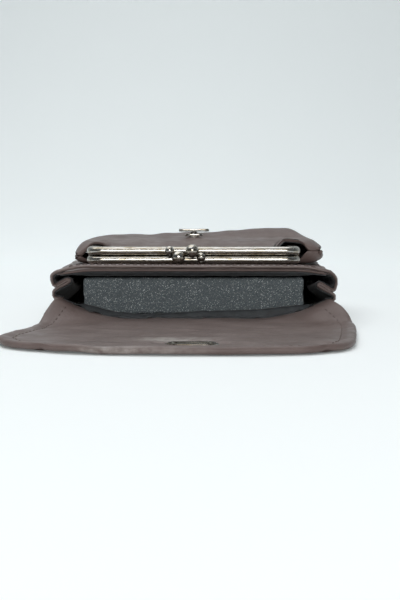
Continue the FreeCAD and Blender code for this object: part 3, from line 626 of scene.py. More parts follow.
LINING_WAVES = (0.4, 15.0, 18)
CRUMPLE_WAVES = ((0.2, 8.0, 15), (0.22, 5.0, 16))
CRUMPLE_STRETCH = 2.0
PADDING = 1.5
PADDING_WAVES = ((0.12, 19.0, 17), (0.05, 5.0, 19))
PADDING_START = (1.5, 3.6)
PADDING_STOP = (4.5, 24.0)
PADDING_REACH = (44.0, 57.0)


def lining_floor(points):
    """Shapes the lining on the back: its edge, its fold and its hem."""
    x, y, z = points.T.copy()
    inside = y - MOUTH
    low = smooth(z - BASE_RADIUS, LINING_BLEND, -LINING_BLEND)
    edge = smooth(inside, *RAGGED_RUN)
    ragged = sum(ripple(x, 0 * x, *waves) for waves in RAGGED_WAVES)
    points[:, 1] += edge * low * (RAGGED_SHIFT + ragged)
    points[:, 1] += CORNER_SETBACK * edge * low * smooth(np.abs(x), *CORNER_REACH)
    inside = points[:, 1] - MOUTH
    fold = hill(inside - LINING_FOLD_PLACE, LINING_FOLD_WIDTH) * (1 - smooth(np.abs(x), *LINING_FOLD_REACH))
    points[:, 2] = mix(z + low * LINING_RAISE, np.maximum(LINING_FOLD(x), z), low * fold)
    hem = ridge(inside, *LINING_RIDGE) - ridge(inside, *LINING_GROOVE)
    crumple = ripple(x, CRUMPLE_STRETCH * points[:, 1], *CRUMPLE_WAVES[0])
    crumple = crumple + ripple(x, 0 * x, *CRUMPLE_WAVES[1])
    points[:, 2] += low * (hem * (1 + ripple(x, 0 * x, *LINING_WAVES)) + crumple * edge)


def lining_ceiling(points, upper):
    """Lowers the padded lining of the front wall behind its lip."""
    x, y, _ = points.T
    inside = y - MOUTH
    padded = smooth(inside, *PADDING_START) * (1 - smooth(inside, *PADDING_STOP))
    padded = padded * (1 - smooth(np.abs(x), *PADDING_REACH))
    points[:, 2] -= upper * padded * (PADDING + sum(ripple(x, y, *waves) for waves in PADDING_WAVES))


def body_lining():
    points, faces = body_surface(LINING_SPAN, LINING_INSET, LINING_HIGH[0] + LINING_OVERHANG)
    upper = smooth(points[:, 2] - BASE_RADIUS, -LINING_BLEND, LINING_BLEND)
    lining_floor(points)
    lining_ceiling(points, upper)
    shell = thicken(points, faces, *LINING_LAYER)
    piece = body_piece("body_lining", shell, LINING)
    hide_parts("back_lining", "base_lining", "front_lining")


# Accordion sides: two lobes with a pleat between them, from (inward, height share) points.
LOBE_SHAPE = (
    (4.2, 0.0), (0.9, 0.05), (0.1, 0.14), (0.6, 0.25), (2.2, 0.33), (5.0, 0.43), (7.6, 0.53), (8.2, 0.575),
    (7.2, 0.59), (4.6, 0.49), (2.4, 0.405), (1.0, 0.425), (0.2, 0.5), (0.0, 0.62), (0.6, 0.76), (2.2, 0.89),
    (5.6, 1.0),
)
LOBE_COLUMNS = 66
LOBE_ROWS = 46
LOBE_POWER = 1.15
LOBE_START = 1.5
LOBE_END = 1.6
LOBE_INSET = 0.4
LOBE_WAVES = (0.35, 22.0)
LOBE_SEED = 21
TURN_INSET = 1.2
TURN_FLOOR = 0.003
LOW_INSET = 1.4
HIGH_INSET = 1.5
HIGH_RAISE = 1.2
HIGH_INSIDE = 18.0
PLEAT_END_SHARE = 0.3
PLEAT_RUN = (-10.0, BASE_CENTRE + 4.0)
LIFT_INSET = 1.5
LOBE_SWAY = {-1: 1.0, 1: -0.6}
SWAY_INSIDE = 30.0
LOBE_SETBACK = 7.2
SETBACK_POWER = 1.25
SETBACK_INSIDE = 16.0
GUSSET_LEATHER = (0.0, -0.95)
GUSSET_LINING = (-1.05, -1.4)


def gusset_levels(y):
    """Lower and upper end of a side, drawn together round the closed end."""
    turn = np.sqrt(np.clip(1 - ((y - BASE_CENTRE) / (BASE_RADIUS - TURN_INSET)) ** 2, TURN_FLOOR, 1))
    turn = np.where(y > BASE_CENTRE, turn, 1.0)
    low = BASE_RADIUS - (BASE_RADIUS - LOW_INSET) * turn
    high = BASE_RADIUS + (BASE_RADIUS - HIGH_INSET) * turn
    return low, high + HIGH_RAISE * smooth(y - MOUTH, HIGH_INSIDE, 0.0)


def gusset_surface(side, inset):
    inward, height = spline(LOBE_SHAPE, LOBE_COLUMNS).T
    share = np.linspace(0, 1, LOBE_ROWS)[:, None] ** LOBE_POWER
    y = mix(MOUTH + LOBE_START, BASE_HIGH[1] - LOBE_END, share)
    low, high = gusset_levels(y)
    depth = mix(1.0, PLEAT_END_SHARE, smooth(y, *PLEAT_RUN))
    outer = LOBE_HIGH[0] - LOBE_INSET - inset + ripple(y, 0 * y, *LOBE_WAVES, LOBE_SEED + side) * depth
    x = side * (outer - inward * depth)
    lift = corner_lift(np.full_like(y, side * (HALF_BODY - LIFT_INSET)), y)
    z = mix(low + lift, high, height)
    z += LOBE_SWAY[side] * smooth(y - MOUTH, SWAY_INSIDE, 0.0) * np.sin(math.pi * height)
    setback = LOBE_SETBACK * (1 - height) ** SETBACK_POWER * smooth(y - MOUTH, SETBACK_INSIDE, 0.0)
    return sheet(x, y + setback, z, turned=side > 0)


def gussets():
    for side, word in SIDES:
        points, faces = gusset_surface(side, 0.0)
        shell = thicken(points, faces, *GUSSET_LEATHER)
        leather = body_piece(word + "_gusset_leather", shell, LEATHER)
        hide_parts(word + "_gusset_lower", word + "_gusset_upper")
        shell = thicken(points, faces, *GUSSET_LINING)
        body_piece(word + "_gusset_lining", shell, LINING)


# Thin folded edge round both lobes of each side, at the mouth.
GUSSET_EDGE_INSET = 0.45
GUSSET_EDGE_FORWARD = 0.1
GUSSET_EDGE_HALF = (0.6, 0.75)
GUSSET_EDGE_STEPS = 8


def gusset_edges():
    for side, word in SIDES:
        path = gusset_surface(side, GUSSET_EDGE_INSET)[0][:LOBE_COLUMNS]
        path[:, 1] -= GUSSET_EDGE_FORWARD
        shell = tube(path, *GUSSET_EDGE_HALF, GUSSET_EDGE_STEPS)
        body_piece(word + "_gusset_edge", shell, POLISHED_WITH_HIGHLIGHT)


# Rolled lip of the front wall, running down the edges of both upper lobes.
LIP_LINE = (
    (-50.0, 24.95), (-40.0, 25.1), (-20.0, 25.0), (0.0, 24.95), (20.0, 24.9), (40.0, 24.75), (49.0, 24.6),
)
LIP_START = 1.8
LIP_INSET = 0.3
LIP_POINTS = 200
LIP_LOBE_PART = slice(LOBE_COLUMNS - 20, LOBE_COLUMNS - 4, 3)
LIP_STEPS = 16
LIP_CORNER_REACH = (53.0, 61.0)
LIP_CORNER_LEVEL = (25.0, 21.5)
LIP_HALF_HEIGHT = (0.86, 0.7)
LIP_HALF_DEPTH = (1.45, 1.1)
LIP_WAVES = (0.05, 9.0, 31)


def lip_path():
    left, right = (gusset_surface(side, LIP_INSET)[0][LIP_LOBE_PART] for side, _ in SIDES)
    line = [(x, MOUTH + LIP_START, z) for x, z in LIP_LINE]
    return spline(np.vstack([left, line, right[::-1]]), LIP_POINTS)


def lip():
    path = lip_path()
    x, _, z = path.T
    corner = smooth(np.abs(x), *LIP_CORNER_REACH) * smooth(z, *LIP_CORNER_LEVEL)
    across = mix(*LIP_HALF_HEIGHT, corner) + ripple(x, z, *LIP_WAVES)
    shell = tube(path, across, mix(*LIP_HALF_DEPTH, corner), LIP_STEPS)
    body_piece("lip_roll", shell, POLISHED_WITH_HIGHLIGHT)


# Foam block with slightly crumbled edges.
FOAM_STEPS = (140, 58, 30)
FOAM_SHRINK = (0.1, 0.1, 0.75)
FOAM_ROUND = 1.3
FOAM_WAVES = ((0.3, (0.09, 7.0, 41, 14)), (-0.4, (0.05, 3.0, 42, 20)))


def foam_face(axis, sign, half):
    """One side of the block, round at its edges."""
    first = (axis + 1) % 3
    second = (axis + 2) % 3
    spans = (np.linspace(-1, 1, FOAM_STEPS[first]), np.linspace(-1, 1, FOAM_STEPS[second]))
    u, v = np.meshgrid(*spans, indexing="ij")
    box = np.zeros((*u.shape, 3))
    box[:, :, axis] = sign * half[axis]
    box[:, :, first] = u * half[first]
    box[:, :, second] = v * half[second]
    core = np.clip(box, FOAM_ROUND - half, half - FOAM_ROUND)
    away = unit(box - core)
    length = np.linalg.norm(box - core, axis=2, keepdims=True)
    spot = core + away * np.minimum(length, FOAM_ROUND)
    x, y, z = np.moveaxis(spot, 2, 0)
    worn = sum(ripple(x + lean * y, z + lean * y, *waves) for lean, waves in FOAM_WAVES)
    spot = spot + away * worn[:, :, None]
    return sheet(*np.moveaxis(spot, 2, 0), turned=sign < 0)


def foam():
    half = (FOAM_HIGH - FOAM_LOW) / 2 - np.array(FOAM_SHRINK)
    points, faces = joined([foam_face(axis, sign, half) for axis in range(3) for sign in (-1, 1)])
    piece = make("foam_block", points + (FOAM_LOW + FOAM_HIGH) / 2, faces, FOAM)
    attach(piece, "foam")
    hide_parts("foam_insert")


# Flap: one piece of leather from the mouth, with a rolled edge, a lock slot and stitches.
FLAP_COLUMNS = 113
REAR_ROWS = 58
ROUND_ROWS = 38
FLAP_ROOT = MOUTH + 3.2
FLAP_ROUND = MOUTH - 59.0
LEFT_EDGE = curve(
    (FLAP_ROUND, -95.0, -86.0, -78.0, -66.0, -61.0, -56.0, -51.0, MOUTH, FLAP_ROOT),
    (-72.2, -70.4, -67.8, -66.2, -64.9, -63.8, -62.4, -60.9, -59.3, -58.6),
)
RIGHT_EDGE = curve(
    (FLAP_ROUND, -93.0, -78.0, -68.0, -61.0, -56.0, -51.0, MOUTH, FLAP_ROOT),
    (61.2, 63.2, 65.6, 66.6, 66.2, 64.2, 61.8, 59.8, 58.8),
)
LEFT_POWER = 2.3
RIGHT_POWER = 4.0
RIGHT_TAPER = 0.1


def rounded_end(left, right):
    """Plan of the flap's end: a grid pressed into a disc, with its own roundness on each side."""
    s, t = np.meshgrid(np.linspace(-1, 1, FLAP_COLUMNS), np.linspace(0, 1, ROUND_ROWS)[1:], indexing="xy")
    disc_x = s * np.sqrt(1 - t ** 2 / 2)
    disc_y = t * np.sqrt(1 - s ** 2 / 2)
    angle = np.arctan2(disc_y, disc_x)
    power = np.where(disc_x < 0, LEFT_POWER, RIGHT_POWER)
    push = (np.abs(np.cos(angle)) ** power + np.abs(np.sin(angle)) ** power) ** (-1 / power)
    disc_x = disc_x * push
    disc_y = disc_y * push
    x = np.where(disc_x < 0, -left, right * (1 - RIGHT_TAPER * disc_y)) * disc_x
    y = FLAP_ROUND + (FLAP_TIP + EDGE_ROLL - FLAP_ROUND) * disc_y
    return np.stack([x, y], axis=2)


def flap_plan():
    """Plan of the flap: straight rows from the mouth, then rows that close into a rounded end."""
    y = np.linspace(FLAP_ROOT, FLAP_ROUND, REAR_ROWS)[:, None]
    left = LEFT_EDGE(y) + EDGE_ROLL
    right = RIGHT_EDGE(y) - EDGE_ROLL
    x = mix(left, right, np.linspace(0, 1, FLAP_COLUMNS))
    rear = np.stack(np.broadcast_arrays(x, y), axis=2)
    return np.concatenate([rear, rounded_end(left[-1], right[-1])])


# Slot in the flap's leather, cut into a window of the plan's grid.
LEATHER_SLOT = (17.5, 7.5)
SLOT_WINDOW = (12.5, 6.6)
SLOT_RINGS = 7
SLOT_RING_POWER = 0.85
SLOT_TRIES = 400


def slot_edge(direction):
    """Point of the slot's outline in a direction from its middle."""
    length, width = LEATHER_SLOT
    straight = (length - width) / 2
    spots = direction * np.linspace(0, length, SLOT_TRIES)[:, None]
    core = np.clip(spots[:, 0], -straight, straight)
    inside = np.hypot(spots[:, 0] - core, spots[:, 1]) <= width / 2
    return spots[inside][-1]


def slot_window(plan):
    """First and last row and column of the window."""
    inside = (np.abs(plan - (0.0, SLOT_Y)) < SLOT_WINDOW).all(axis=2)
    rows = np.where(inside.any(axis=1))[0]
    columns = np.where(inside.any(axis=0))[0]
    return rows[0], rows[-1], columns[0], columns[-1]


def window_loop(window, columns):
    """Grid points round the window, in order."""
    top, bottom, left, right = window
    loop = [(top, c) for c in range(left, right)] + [(r, right) for r in range(top, bottom)]
    loop += [(bottom, c) for c in range(right, left, -1)] + [(r, left) for r in range(bottom, top, -1)]
    return np.array([r * columns + c for r, c in loop])


def slot_rings(flat, loop):
    """Rings between the window and the slot's outline."""
    slot = np.array([0.0, SLOT_Y])
    offset = flat[loop] - slot
    target = np.array([slot_edge(direction) for direction in unit(offset)])
    shares = (np.arange(1, SLOT_RINGS + 1) / SLOT_RINGS) ** SLOT_RING_POWER
    points = [slot + mix(offset, target, share) for share in shares]
    rings = len(flat) + np.arange(SLOT_RINGS * len(loop)).reshape(SLOT_RINGS, -1)
    faces = []
    for last, here in zip([loop, *rings[:-1]], rings):
        faces.append(np.stack([last, np.roll(last, -1), np.roll(here, -1), here], axis=1))
    return np.vstack(points), np.vstack(faces)


def flap_mesh():
    """Plan with the slot cut out, and its outline from root to root."""
    plan = flap_plan()
    rows, columns = plan.shape[:2]
    flat = plan.reshape(-1, 2)
    window = slot_window(plan)
    top, bottom, left, right = window
    grid = grid_faces(rows, columns)
    row, column = np.divmod(grid[:, 0], columns)
    hole = (row >= top) & (row < bottom) & (column >= left) & (column < right)
    ring_points, rings = slot_rings(flat, window_loop(window, columns))
    points = np.vstack([flat, ring_points])
    faces = np.vstack([grid[~hole], rings])
    a, b, c = (points[faces[:, k]] for k in range(3))
    turn = (b - a)[:, 0] * (c - a)[:, 1] - (b - a)[:, 1] * (c - a)[:, 0]
    faces[turn < 0] = faces[turn < 0][:, ::-1]
    outline = np.concatenate([plan[:, 0], plan[-1], plan[::-1, -1]])
    return points, faces, outline


def edge_distance(points, outline):
    offset = points[:, None] - outline
    return np.sqrt((offset ** 2).sum(axis=2)).min(axis=1)


# Relief of the flap's inner face. A lift is (height, side, run across, run to the front).
FACE_GAP = 0.1
FLAP_LIFTS = (
    (0.5, -1, (44.0, 70.0), (78.0, 122.0)),
    (0.4, 1, (44.0, 64.0), (70.0, 120.0)),
)
FRONT_LIFT = 0.3
FRONT_RUN = (112.0, 136.0)
HUMP = 0.5
HUMP_REACH = (50.0, 62.0)
HUMP_OUT = 20.0
HUMP_LENGTH = 14.0
CALM = (0.8, 22.0, 6.0)
BROAD_WAVES = (0.13, 26.0, 52)
BROAD_STRETCH = 1.6
FINE_WAVES = (0.06, 10.0, 53)
FINE_STRETCH = (0.5, 2.0)
DIMPLE = (1.25, 0.0, 1.9)
DIMPLE_RIM = (0.2, 3.2, 1.4)
SLOT_CORE = 5.1
SLOT_DIP = (1.15, 3.0, 2.4)
HEM = 4.6
HEM_DIP = (0.35, HEM, 1.3)
HEM_RUN = (2.0, 16.0)
RIM_ROLL = (0.5, 1.0, 2.4)
RIM_RUN = (4.0, 16.0)


def flap_top(x, y, gap):
    """Height of the flap's inner face; gap is the distance from its outline."""
    out = MOUTH - y
    level = INNER_FACE - FACE_GAP + corner_lift(x, y)
    level = level + HUMP * smooth(x, *HUMP_REACH) * hill(out - HUMP_OUT, HUMP_LENGTH)
    for height, side, across, forward in FLAP_LIFTS:
        level = level + height * smooth(side * x, *across) * smooth(-y, *forward)
    level = level + FRONT_LIFT * smooth(-y, *FRONT_RUN)
    waves = ripple(x, BROAD_STRETCH * y, *BROAD_WAVES)
    waves = waves + ripple(FINE_STRETCH[0] * x, FINE_STRETCH[1] * y, *FINE_WAVES)
    level = level + (1 - ridge(out, *CALM)) * waves
    for side, _ in SIDES:
        rivet = np.hypot(x - side * RIVET_X, y - SLOT_Y)
        level = level - ridge(rivet, *DIMPLE) + ridge(rivet, *DIMPLE_RIM)
    slot = np.hypot(np.maximum(np.abs(x) - SLOT_CORE, 0), y - SLOT_Y)
    level = level - ridge(slot, *SLOT_DIP)
    hem = ridge(gap, *HEM_DIP) * smooth(out, *HEM_RUN)
    return level - hem + ridge(gap, *RIM_ROLL) * smooth(out, *RIM_RUN)


FLAP_THICKNESS = 1.6
RIM_THICKENING = (1.0, 0.0, 3.0)
RIM_THICK_RUN = (1.0, 14.0)
TABLE_GAP = 0.12
THINNEST = 0.9
FLAP_EDGE_STEPS = 6
FLAP_SPLIT = (HINGE_LINE + FOLD_LINE) / 2


def hinge_root(piece):
    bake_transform(piece)


def hinge_front(piece):
    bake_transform(piece)


def flap():
    plan, faces, outline = flap_mesh()
    gap = edge_distance(plan, outline[1:-1])
    x, y = plan.T
    top = flap_top(x, y, gap)
    thick = FLAP_THICKNESS + ridge(gap, *RIM_THICKENING) * smooth(MOUTH - y, *RIM_THICK_RUN)
    slack = np.maximum(top - TABLE_GAP, THINNEST)
    points = np.column_stack([plan, top])
    mesh, shell = thicken(points, faces, 0.0, -np.minimum(thick, slack), FLAP_EDGE_STEPS)
    labels = (mesh[shell][:, :, 1].mean(axis=1) < FLAP_SPLIT).astype(int)
    root, front = make_split(("flap_root", "flap_front_leather"), mesh, shell, labels, RUBBED_AND_SHEEN)
    hinge_root(root)
    hinge_front(front)
    for piece, nodes in ((root, ("bridge_outer", "bridge_inner")), (front, ("flap_outer", "flap_inner"))):
        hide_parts(*nodes)
    flap_stitches(outline)


# Stitches: short round threads, each dipping into the leather at its ends.
STITCH_STEP = 3.1
STITCH_LENGTH = 2.0
STITCH_RADIUS = 0.2
STITCH_POINTS = 5
STITCH_SIDES = 6
STITCH_RISE = 0.16
STITCH_DIP = 0.5
FLAP_STITCH_START = 4.0
LIP_STITCH_REACH = 56.0
LIP_STITCH_OFFSET = (0.0, -0.85, 0.85)
LIP_STITCH_UP = (0.0, -0.6, 0.8)


def stitch_row(path, up):
    """Meshes of the stitches along a path."""
    lengths = path_lengths(path)
    share = np.linspace(0, 1, STITCH_POINTS)
    height = STITCH_RISE - STITCH_DIP * (2 * share - 1) ** 4
    stitches = []
    for start in np.arange(STITCH_STEP / 2, lengths[-1] - STITCH_STEP, STITCH_STEP):
        line = along_path(path, lengths, start + STITCH_LENGTH * share)
        line = line + np.array(up) * height[:, None]
        stitches.append(tube(line, STITCH_RADIUS, STITCH_RADIUS, STITCH_SIDES))
    return stitches


def inner_line(outline, inset):
    """Outline moved inwards."""
    step = unit(np.gradient(outline, axis=0))
    inward = np.stack([-step[:, 1], step[:, 0]], axis=1)
    return outline + inset * inward


def flap_stitches(outline):
    line = inner_line(outline, HEM)
    line = line[line[:, 1] < MOUTH - FLAP_STITCH_START]
    path = np.column_stack([line, flap_top(*line.T, np.full(len(line), HEM))])
    stitches = stitch_row(path, (0.0, 0.0, 1.0))
    front = [stitch for stitch in stitches if stitch[0][:, 1].mean() < FLAP_SPLIT]
    root = [stitch for stitch in stitches if stitch[0][:, 1].mean() >= FLAP_SPLIT]
    rows = (("flap_root_stitches", root, hinge_root), ("flap_front_stitches", front, hinge_front))
    for name, row, hinge in rows:
        piece = make(name, *joined(row), THREAD)
        hinge(piece)


def lip_stitches():
    path = lip_path()
    path = path[np.abs(path[:, 0]) < LIP_STITCH_REACH] + np.array(LIP_STITCH_OFFSET)
    shell = joined(stitch_row(path, LIP_STITCH_UP))
    body_piece("lip_stitches", shell, THREAD)


# Rounded flange that holds the slot's rim on the inner side of the flap, from (radius, level) points.
FLANGE_OUTLINE = (
    (3.62, 1.1), (3.62, 1.75), (3.7, 1.95), (3.9, 2.07), (4.2, 2.1), (4.55, 1.98), (4.9, 1.74), (5.15, 1.44),
    (5.2, 1.2), (5.1, 1.1),
)
FLANGE_CORE = 5.0
FLANGE_STEPS = 96


def slot_flange():
    turn = np.linspace(0, 2 * math.pi, FLANGE_STEPS, endpoint=False)
    core = np.where(np.cos(turn) >= 0, FLANGE_CORE, -FLANGE_CORE)
    rings = []
    for radius, level in FLANGE_OUTLINE:
        heights = np.full(FLANGE_STEPS, level)
        across = core + radius * np.cos(turn)
        rings.append(np.stack([across, SLOT_Y + radius * np.sin(turn), heights], axis=1))
    faces = ring_faces(len(rings), FLANGE_STEPS, closed=True)
    piece = make("slot_flange", np.vstack(rings), faces[:, ::-1], NICKEL)
    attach(piece, "flap_front")


# Oval foot with a turned sleeve between the collar and the toggle; each ring is (radius, height, reach).
BOSS_HEIGHT = 2.05
BOSS_OUTLINE = (
    (1.2, 0.0, 0.0), (2.1, 0.0, 2.0), (2.15, 0.06, 2.0), (2.15, 0.9, 2.0), (2.08, 1.08, 2.0),
    (1.9, 1.22, 1.9), (1.75, 1.26, 1.2), (1.72, 1.28, 0.0), (1.72, BOSS_HEIGHT - 0.2, 0.0),
    (1.55, BOSS_HEIGHT, 0.0), (1.2, BOSS_HEIGHT, 0.0),
)
BOSS_STEPS = 40
BOSS_SINK = 0.02
OVAL_SHARPNESS = 3


def lock_boss():
    turn = np.linspace(0, 2 * math.pi, BOSS_STEPS, endpoint=False)
    rings = []
    for radius, height, reach in BOSS_OUTLINE:
        across = radius * np.cos(turn) + reach * np.clip(OVAL_SHARPNESS * np.cos(turn), -1, 1)
        heights = np.full(BOSS_STEPS, COLLAR_HIGH[2] - BOSS_SINK + height)
        rings.append(np.stack([across, LOCK_Y + radius * np.sin(turn), heights], axis=1))
    piece = make("lock_boss", np.vstack(rings), ring_faces(len(rings), BOSS_STEPS, closed=True), NICKEL)
    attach(piece, "front_wall")


# Coin pouch: puffy front sewn to a shallow back, open round the two ends of the frame.
# The crest and the tray are (across, height) points of the front's and the back's section.
CREST = (
    (-57.0, 28.7), (-57.2, 29.8), (-56.0, 32.0), (-53.8, 34.4), (-50.4, 36.3), (-42.0, 37.3), (-22.0, 38.0),
    (0.0, 38.6), (20.0, 39.8), (36.0, 41.0), (44.0, 40.9), (50.0, 39.6), (55.5, 36.9), (60.0, 33.7),
    (61.5, 32.3), (61.0, 31.3),
)
TRAY = (
    (-57.0, 27.9), (-57.3, 26.9), (-55.0, 25.2), (-48.0, 24.5), (-30.0, 24.3), (0.0, 24.3),
    (30.0, 24.3), (48.0, 24.4), (56.5, 24.9), (61.2, 26.5), (62.4, 28.6), (61.0, 30.4),
)
POUCH_COLUMNS = 131
POUCH_ROWS = 100
POUCH_ROW_POWER = 1.15
POUCH_END = CROWN_HIGH[1]
END_SETBACK = 7.0
END_POWER = 1.6
END_REACH = (40.0, 62.0)
TAIL_START = 13.0
SHUT_LEVEL = 36.0
FRONT_NOSE = 8.0
BACK_NOSE = 4.5
NOSE_REACH = (36.0, 43.0)
SEAM_GAP = 0.35
SEAM_SHARE = 0.5
SEAM_REACH = (53.5, 57.0)
CURL_ROWS = 7
CURL_COLUMNS = 5
CURL_REACH = (38.0, 43.0)
CURL_PLAIN = 0.2
CURL_HOLLOW = 1.0
CURL_SEAM = 0.7
FRONT_CHANNEL = 31.2
REAR_CHANNEL = 26.9
CHANNEL_DEPTH = FRAME_LOW[1] + 3.4
EAR_LINE = FRAME_HIGH[1] - 1.0
HOLLOW_FRONT = curve(
    (0.0, 37.5, 41.0, 44.5, 50.0, 53.5, 56.5, 64.0),
    (CHANNEL_DEPTH, CHANNEL_DEPTH, -24.0, -16.0, EAR_LINE, EAR_LINE - 2.4, EAR_LINE - 3.6, EAR_LINE - 1.0),
)
HOLLOW_LEFT = curve(
    (0.0, 37.5, 42.0, 45.0, 48.0, 50.3, 52.3, 54.5),
    (FRONT_CHANNEL, FRONT_CHANNEL, 32.6, 34.3, 34.7, 33.8, 31.4, 29.4),
)
HOLLOW_RIGHT = curve(
    (0.0, 37.5, 40.0, 43.0, 46.5, 49.5, 52.5, 55.0, 57.0),
    (FRONT_CHANNEL, FRONT_CHANNEL, 33.2, 35.5, 36.2, 36.0, 35.0, 33.0, 30.9),
)
WIDTH_SHARE = curve(
    (-33.0, -16.0, -6.0, 6.0, 20.0, 33.0, 40.0, POUCH_END),
    (0.93, 0.955, 0.985, 1.0, 1.0, 0.972, 0.93, 0.86),
)


def pouch_curl(reach):
    """Radius of the curled-in front edge, fading out at the two side seams."""
    seam = smooth(reach, *SEAM_REACH)
    curl = CURL_PLAIN + CURL_HOLLOW * smooth(reach, *CURL_REACH) * (1 - seam) + CURL_SEAM * seam
    column = np.arange(POUCH_COLUMNS)
    return curl * smooth(np.minimum(column, column[::-1]), 0, CURL_COLUMNS)


def pouch_rows(section, length):
    """Plan of the pouch, with the front edge drawn back and curled in at the frame's ends."""
    reach = np.abs(section[:, 0])
    front = HOLLOW_FRONT(reach)
    end = POUCH_END - END_SETBACK * smooth(reach, *END_REACH) ** END_POWER
    row = np.arange(POUCH_ROWS)[:, None]
    share = np.clip((row - CURL_ROWS) / (POUCH_ROWS - 1 - CURL_ROWS), 0, 1) ** POUCH_ROW_POWER
    y = mix(front, end, share)
    x = section[:, 0] * WIDTH_SHARE(y)
    nose = np.clip((y - front) / length, 0, 1)
    nose = mix(1.0, np.sqrt(1 - (1 - nose) ** 2), smooth(reach, *NOSE_REACH))
    tail = np.clip((y - TAIL_START) / (end - TAIL_START), 0, 1)
    turn = np.clip(CURL_ROWS - row, 0, None) / CURL_ROWS * math.pi / 2
    curl = pouch_curl(reach)
    return x, y + curl * (1 - np.cos(turn)), reach, nose, tail, curl * np.sin(turn)


def seam_height(section, x):
    """Height of the straight line between the two ends of a section."""
    (left, low), (right, high) = section[0], section[-1]
    return mix(low, high, (x - left) / (right - left))


# Front of the pouch: pressed shoulder behind the frame, dome, flat place under the lock and gathers.
SHOULDER_SHARE = 0.97
SHOULDER_MARGIN = 0.1
SHOULDER_SHARPNESS = 8
LEAST_RISE = 0.001
FRONT_INNER = (HALF_FRAME + 1.0, HALF_FRAME - 7.0)
SHOULDER_LINE = -7.0
SIDE_RAMP_START = 0.62
MIDDLE_RAMP_POWER = 2.1
CREST_RUN = (1.0, 20.0)
FRONT_TAIL = (2.6, 1.7)
LOCK_SINK = 0.02
LOCK_FLAT = (6.5, 2.4)
LOCK_CALM = (3.0, 9.0)
PUFF_RUN = (1.0, 5.0)
POUCH_FOLDS = (0.22, 21.0, 61)
POUCH_CREASES = (0.1, 8.0, 62)
CREASE_STRETCH = 0.6
GATHER = 0.2
GATHER_RATE = 1.15
GATHER_DRIFT = 0.8
DRIFT_RATE = 0.31
GATHER_RUN = (20.0, 30.0)


def front_shoulder(seam, rise):
    """Crest of the pouch, held softly under the level of the shut flap."""
    limit = SHUT_LEVEL + SHOULDER_MARGIN - seam
    power = SHOULDER_SHARPNESS
    lift = np.maximum(SHOULDER_SHARE * rise, LEAST_RISE)
    soft = 1 / (1 / lift ** power + 1 / limit ** power) ** (1 / power)
    return seam + np.where(rise > 0, soft, rise)


def front_folds(x, y, inner):
    """Folds all over and gathers along the frame."""
    folds = ripple(x, y, *POUCH_FOLDS) + ripple(x, CREASE_STRETCH * y, *POUCH_CREASES)
    gathers = GATHER * np.sin(GATHER_RATE * x + GATHER_DRIFT * np.sin(DRIFT_RATE * x))
    return folds + gathers * smooth(-y, *GATHER_RUN) * inner


def pouch_front_surface():
    section = spline(CREST, POUCH_COLUMNS)
    x, y, reach, nose, tail, under = pouch_rows(section, FRONT_NOSE)
    seam = seam_height(CREST, x)
    crest = section[:, 1]
    rise = crest - seam
    inner = smooth(reach, *FRONT_INNER)
    ramp = np.clip((y - CHANNEL_DEPTH) / (SHOULDER_LINE - CHANNEL_DEPTH), 0, 1)
    ramp = mix(mix(SIDE_RAMP_START, 1.0, ramp), 1 - (1 - ramp) ** MIDDLE_RAMP_POWER, inner)
    z = mix(mix(seam, FRONT_CHANNEL, inner), front_shoulder(seam, rise), ramp)
    z = mix(z, crest, smooth(y, *CREST_RUN))
    edge = np.where(section[:, 0] < 0, HOLLOW_LEFT(reach), HOLLOW_RIGHT(reach))
    edge = mix(edge, seam + np.clip(SEAM_SHARE * rise, 0, SEAM_GAP), smooth(reach, *SEAM_REACH))
    z = mix(edge, z, nose) - under
    z = mix(seam, z, (1 - tail ** FRONT_TAIL[0]) ** (1 / FRONT_TAIL[1]))
    lock = np.hypot(x, y - LOCK_Y)
    z = mix(z, COLLAR_LOW[2] - LOCK_SINK, smooth(lock, *LOCK_FLAT))
    puff = smooth(z - seam, *PUFF_RUN) * smooth(lock, *LOCK_CALM)
    return sheet(x, y, z + puff * front_folds(x, y, inner))


# Back of the pouch: flat on the front wall, rising to the rear half of the frame.
BACK_INNER = (HALF_FRAME - 1.0, HALF_FRAME - 7.0)
BACK_RAMP = (CHANNEL_DEPTH + 1.0, EAR_LINE + 3.0)
BACK_EDGE_DROP = 0.8
BACK_SEAM_REACH = (51.0, 55.5)
BACK_CURL = (0.5, 0.9)
BACK_TAIL = (3.0, 2.0)


def pouch_back_surface():
    section = spline(TRAY, POUCH_COLUMNS)
    x, y, reach, nose, tail, under = pouch_rows(section, BACK_NOSE)
    seam = seam_height(TRAY, x)
    deep = section[:, 1]
    z = mix(deep, mix(REAR_CHANNEL, deep, smooth(y, *BACK_RAMP)), smooth(reach, *BACK_INNER))
    closing = seam - np.clip(SEAM_SHARE * (seam - deep), 0, SEAM_GAP)
    edge = mix(REAR_CHANNEL - BACK_EDGE_DROP, closing, smooth(reach, *BACK_SEAM_REACH))
    z = mix(edge, z, nose) + np.minimum(under, mix(*BACK_CURL, smooth(reach, *SEAM_REACH)))
    z = mix(seam, z, (1 - tail ** BACK_TAIL[0]) ** (1 / BACK_TAIL[1]))
    return sheet(x, y, z, turned=True)


POUCH_LEATHER = (0.0, -1.0)
POUCH_LINING = (-1.1, -1.4)
LINING_MARGIN = 6
BLEND_START = MOUTH + 38.0


def inner_faces(faces):
    """Faces of a pouch sheet without those beside the side seams."""
    column = faces.min(axis=1) % POUCH_COLUMNS
    return faces[(column >= LINING_MARGIN) & (column < POUCH_COLUMNS - 1 - LINING_MARGIN)]


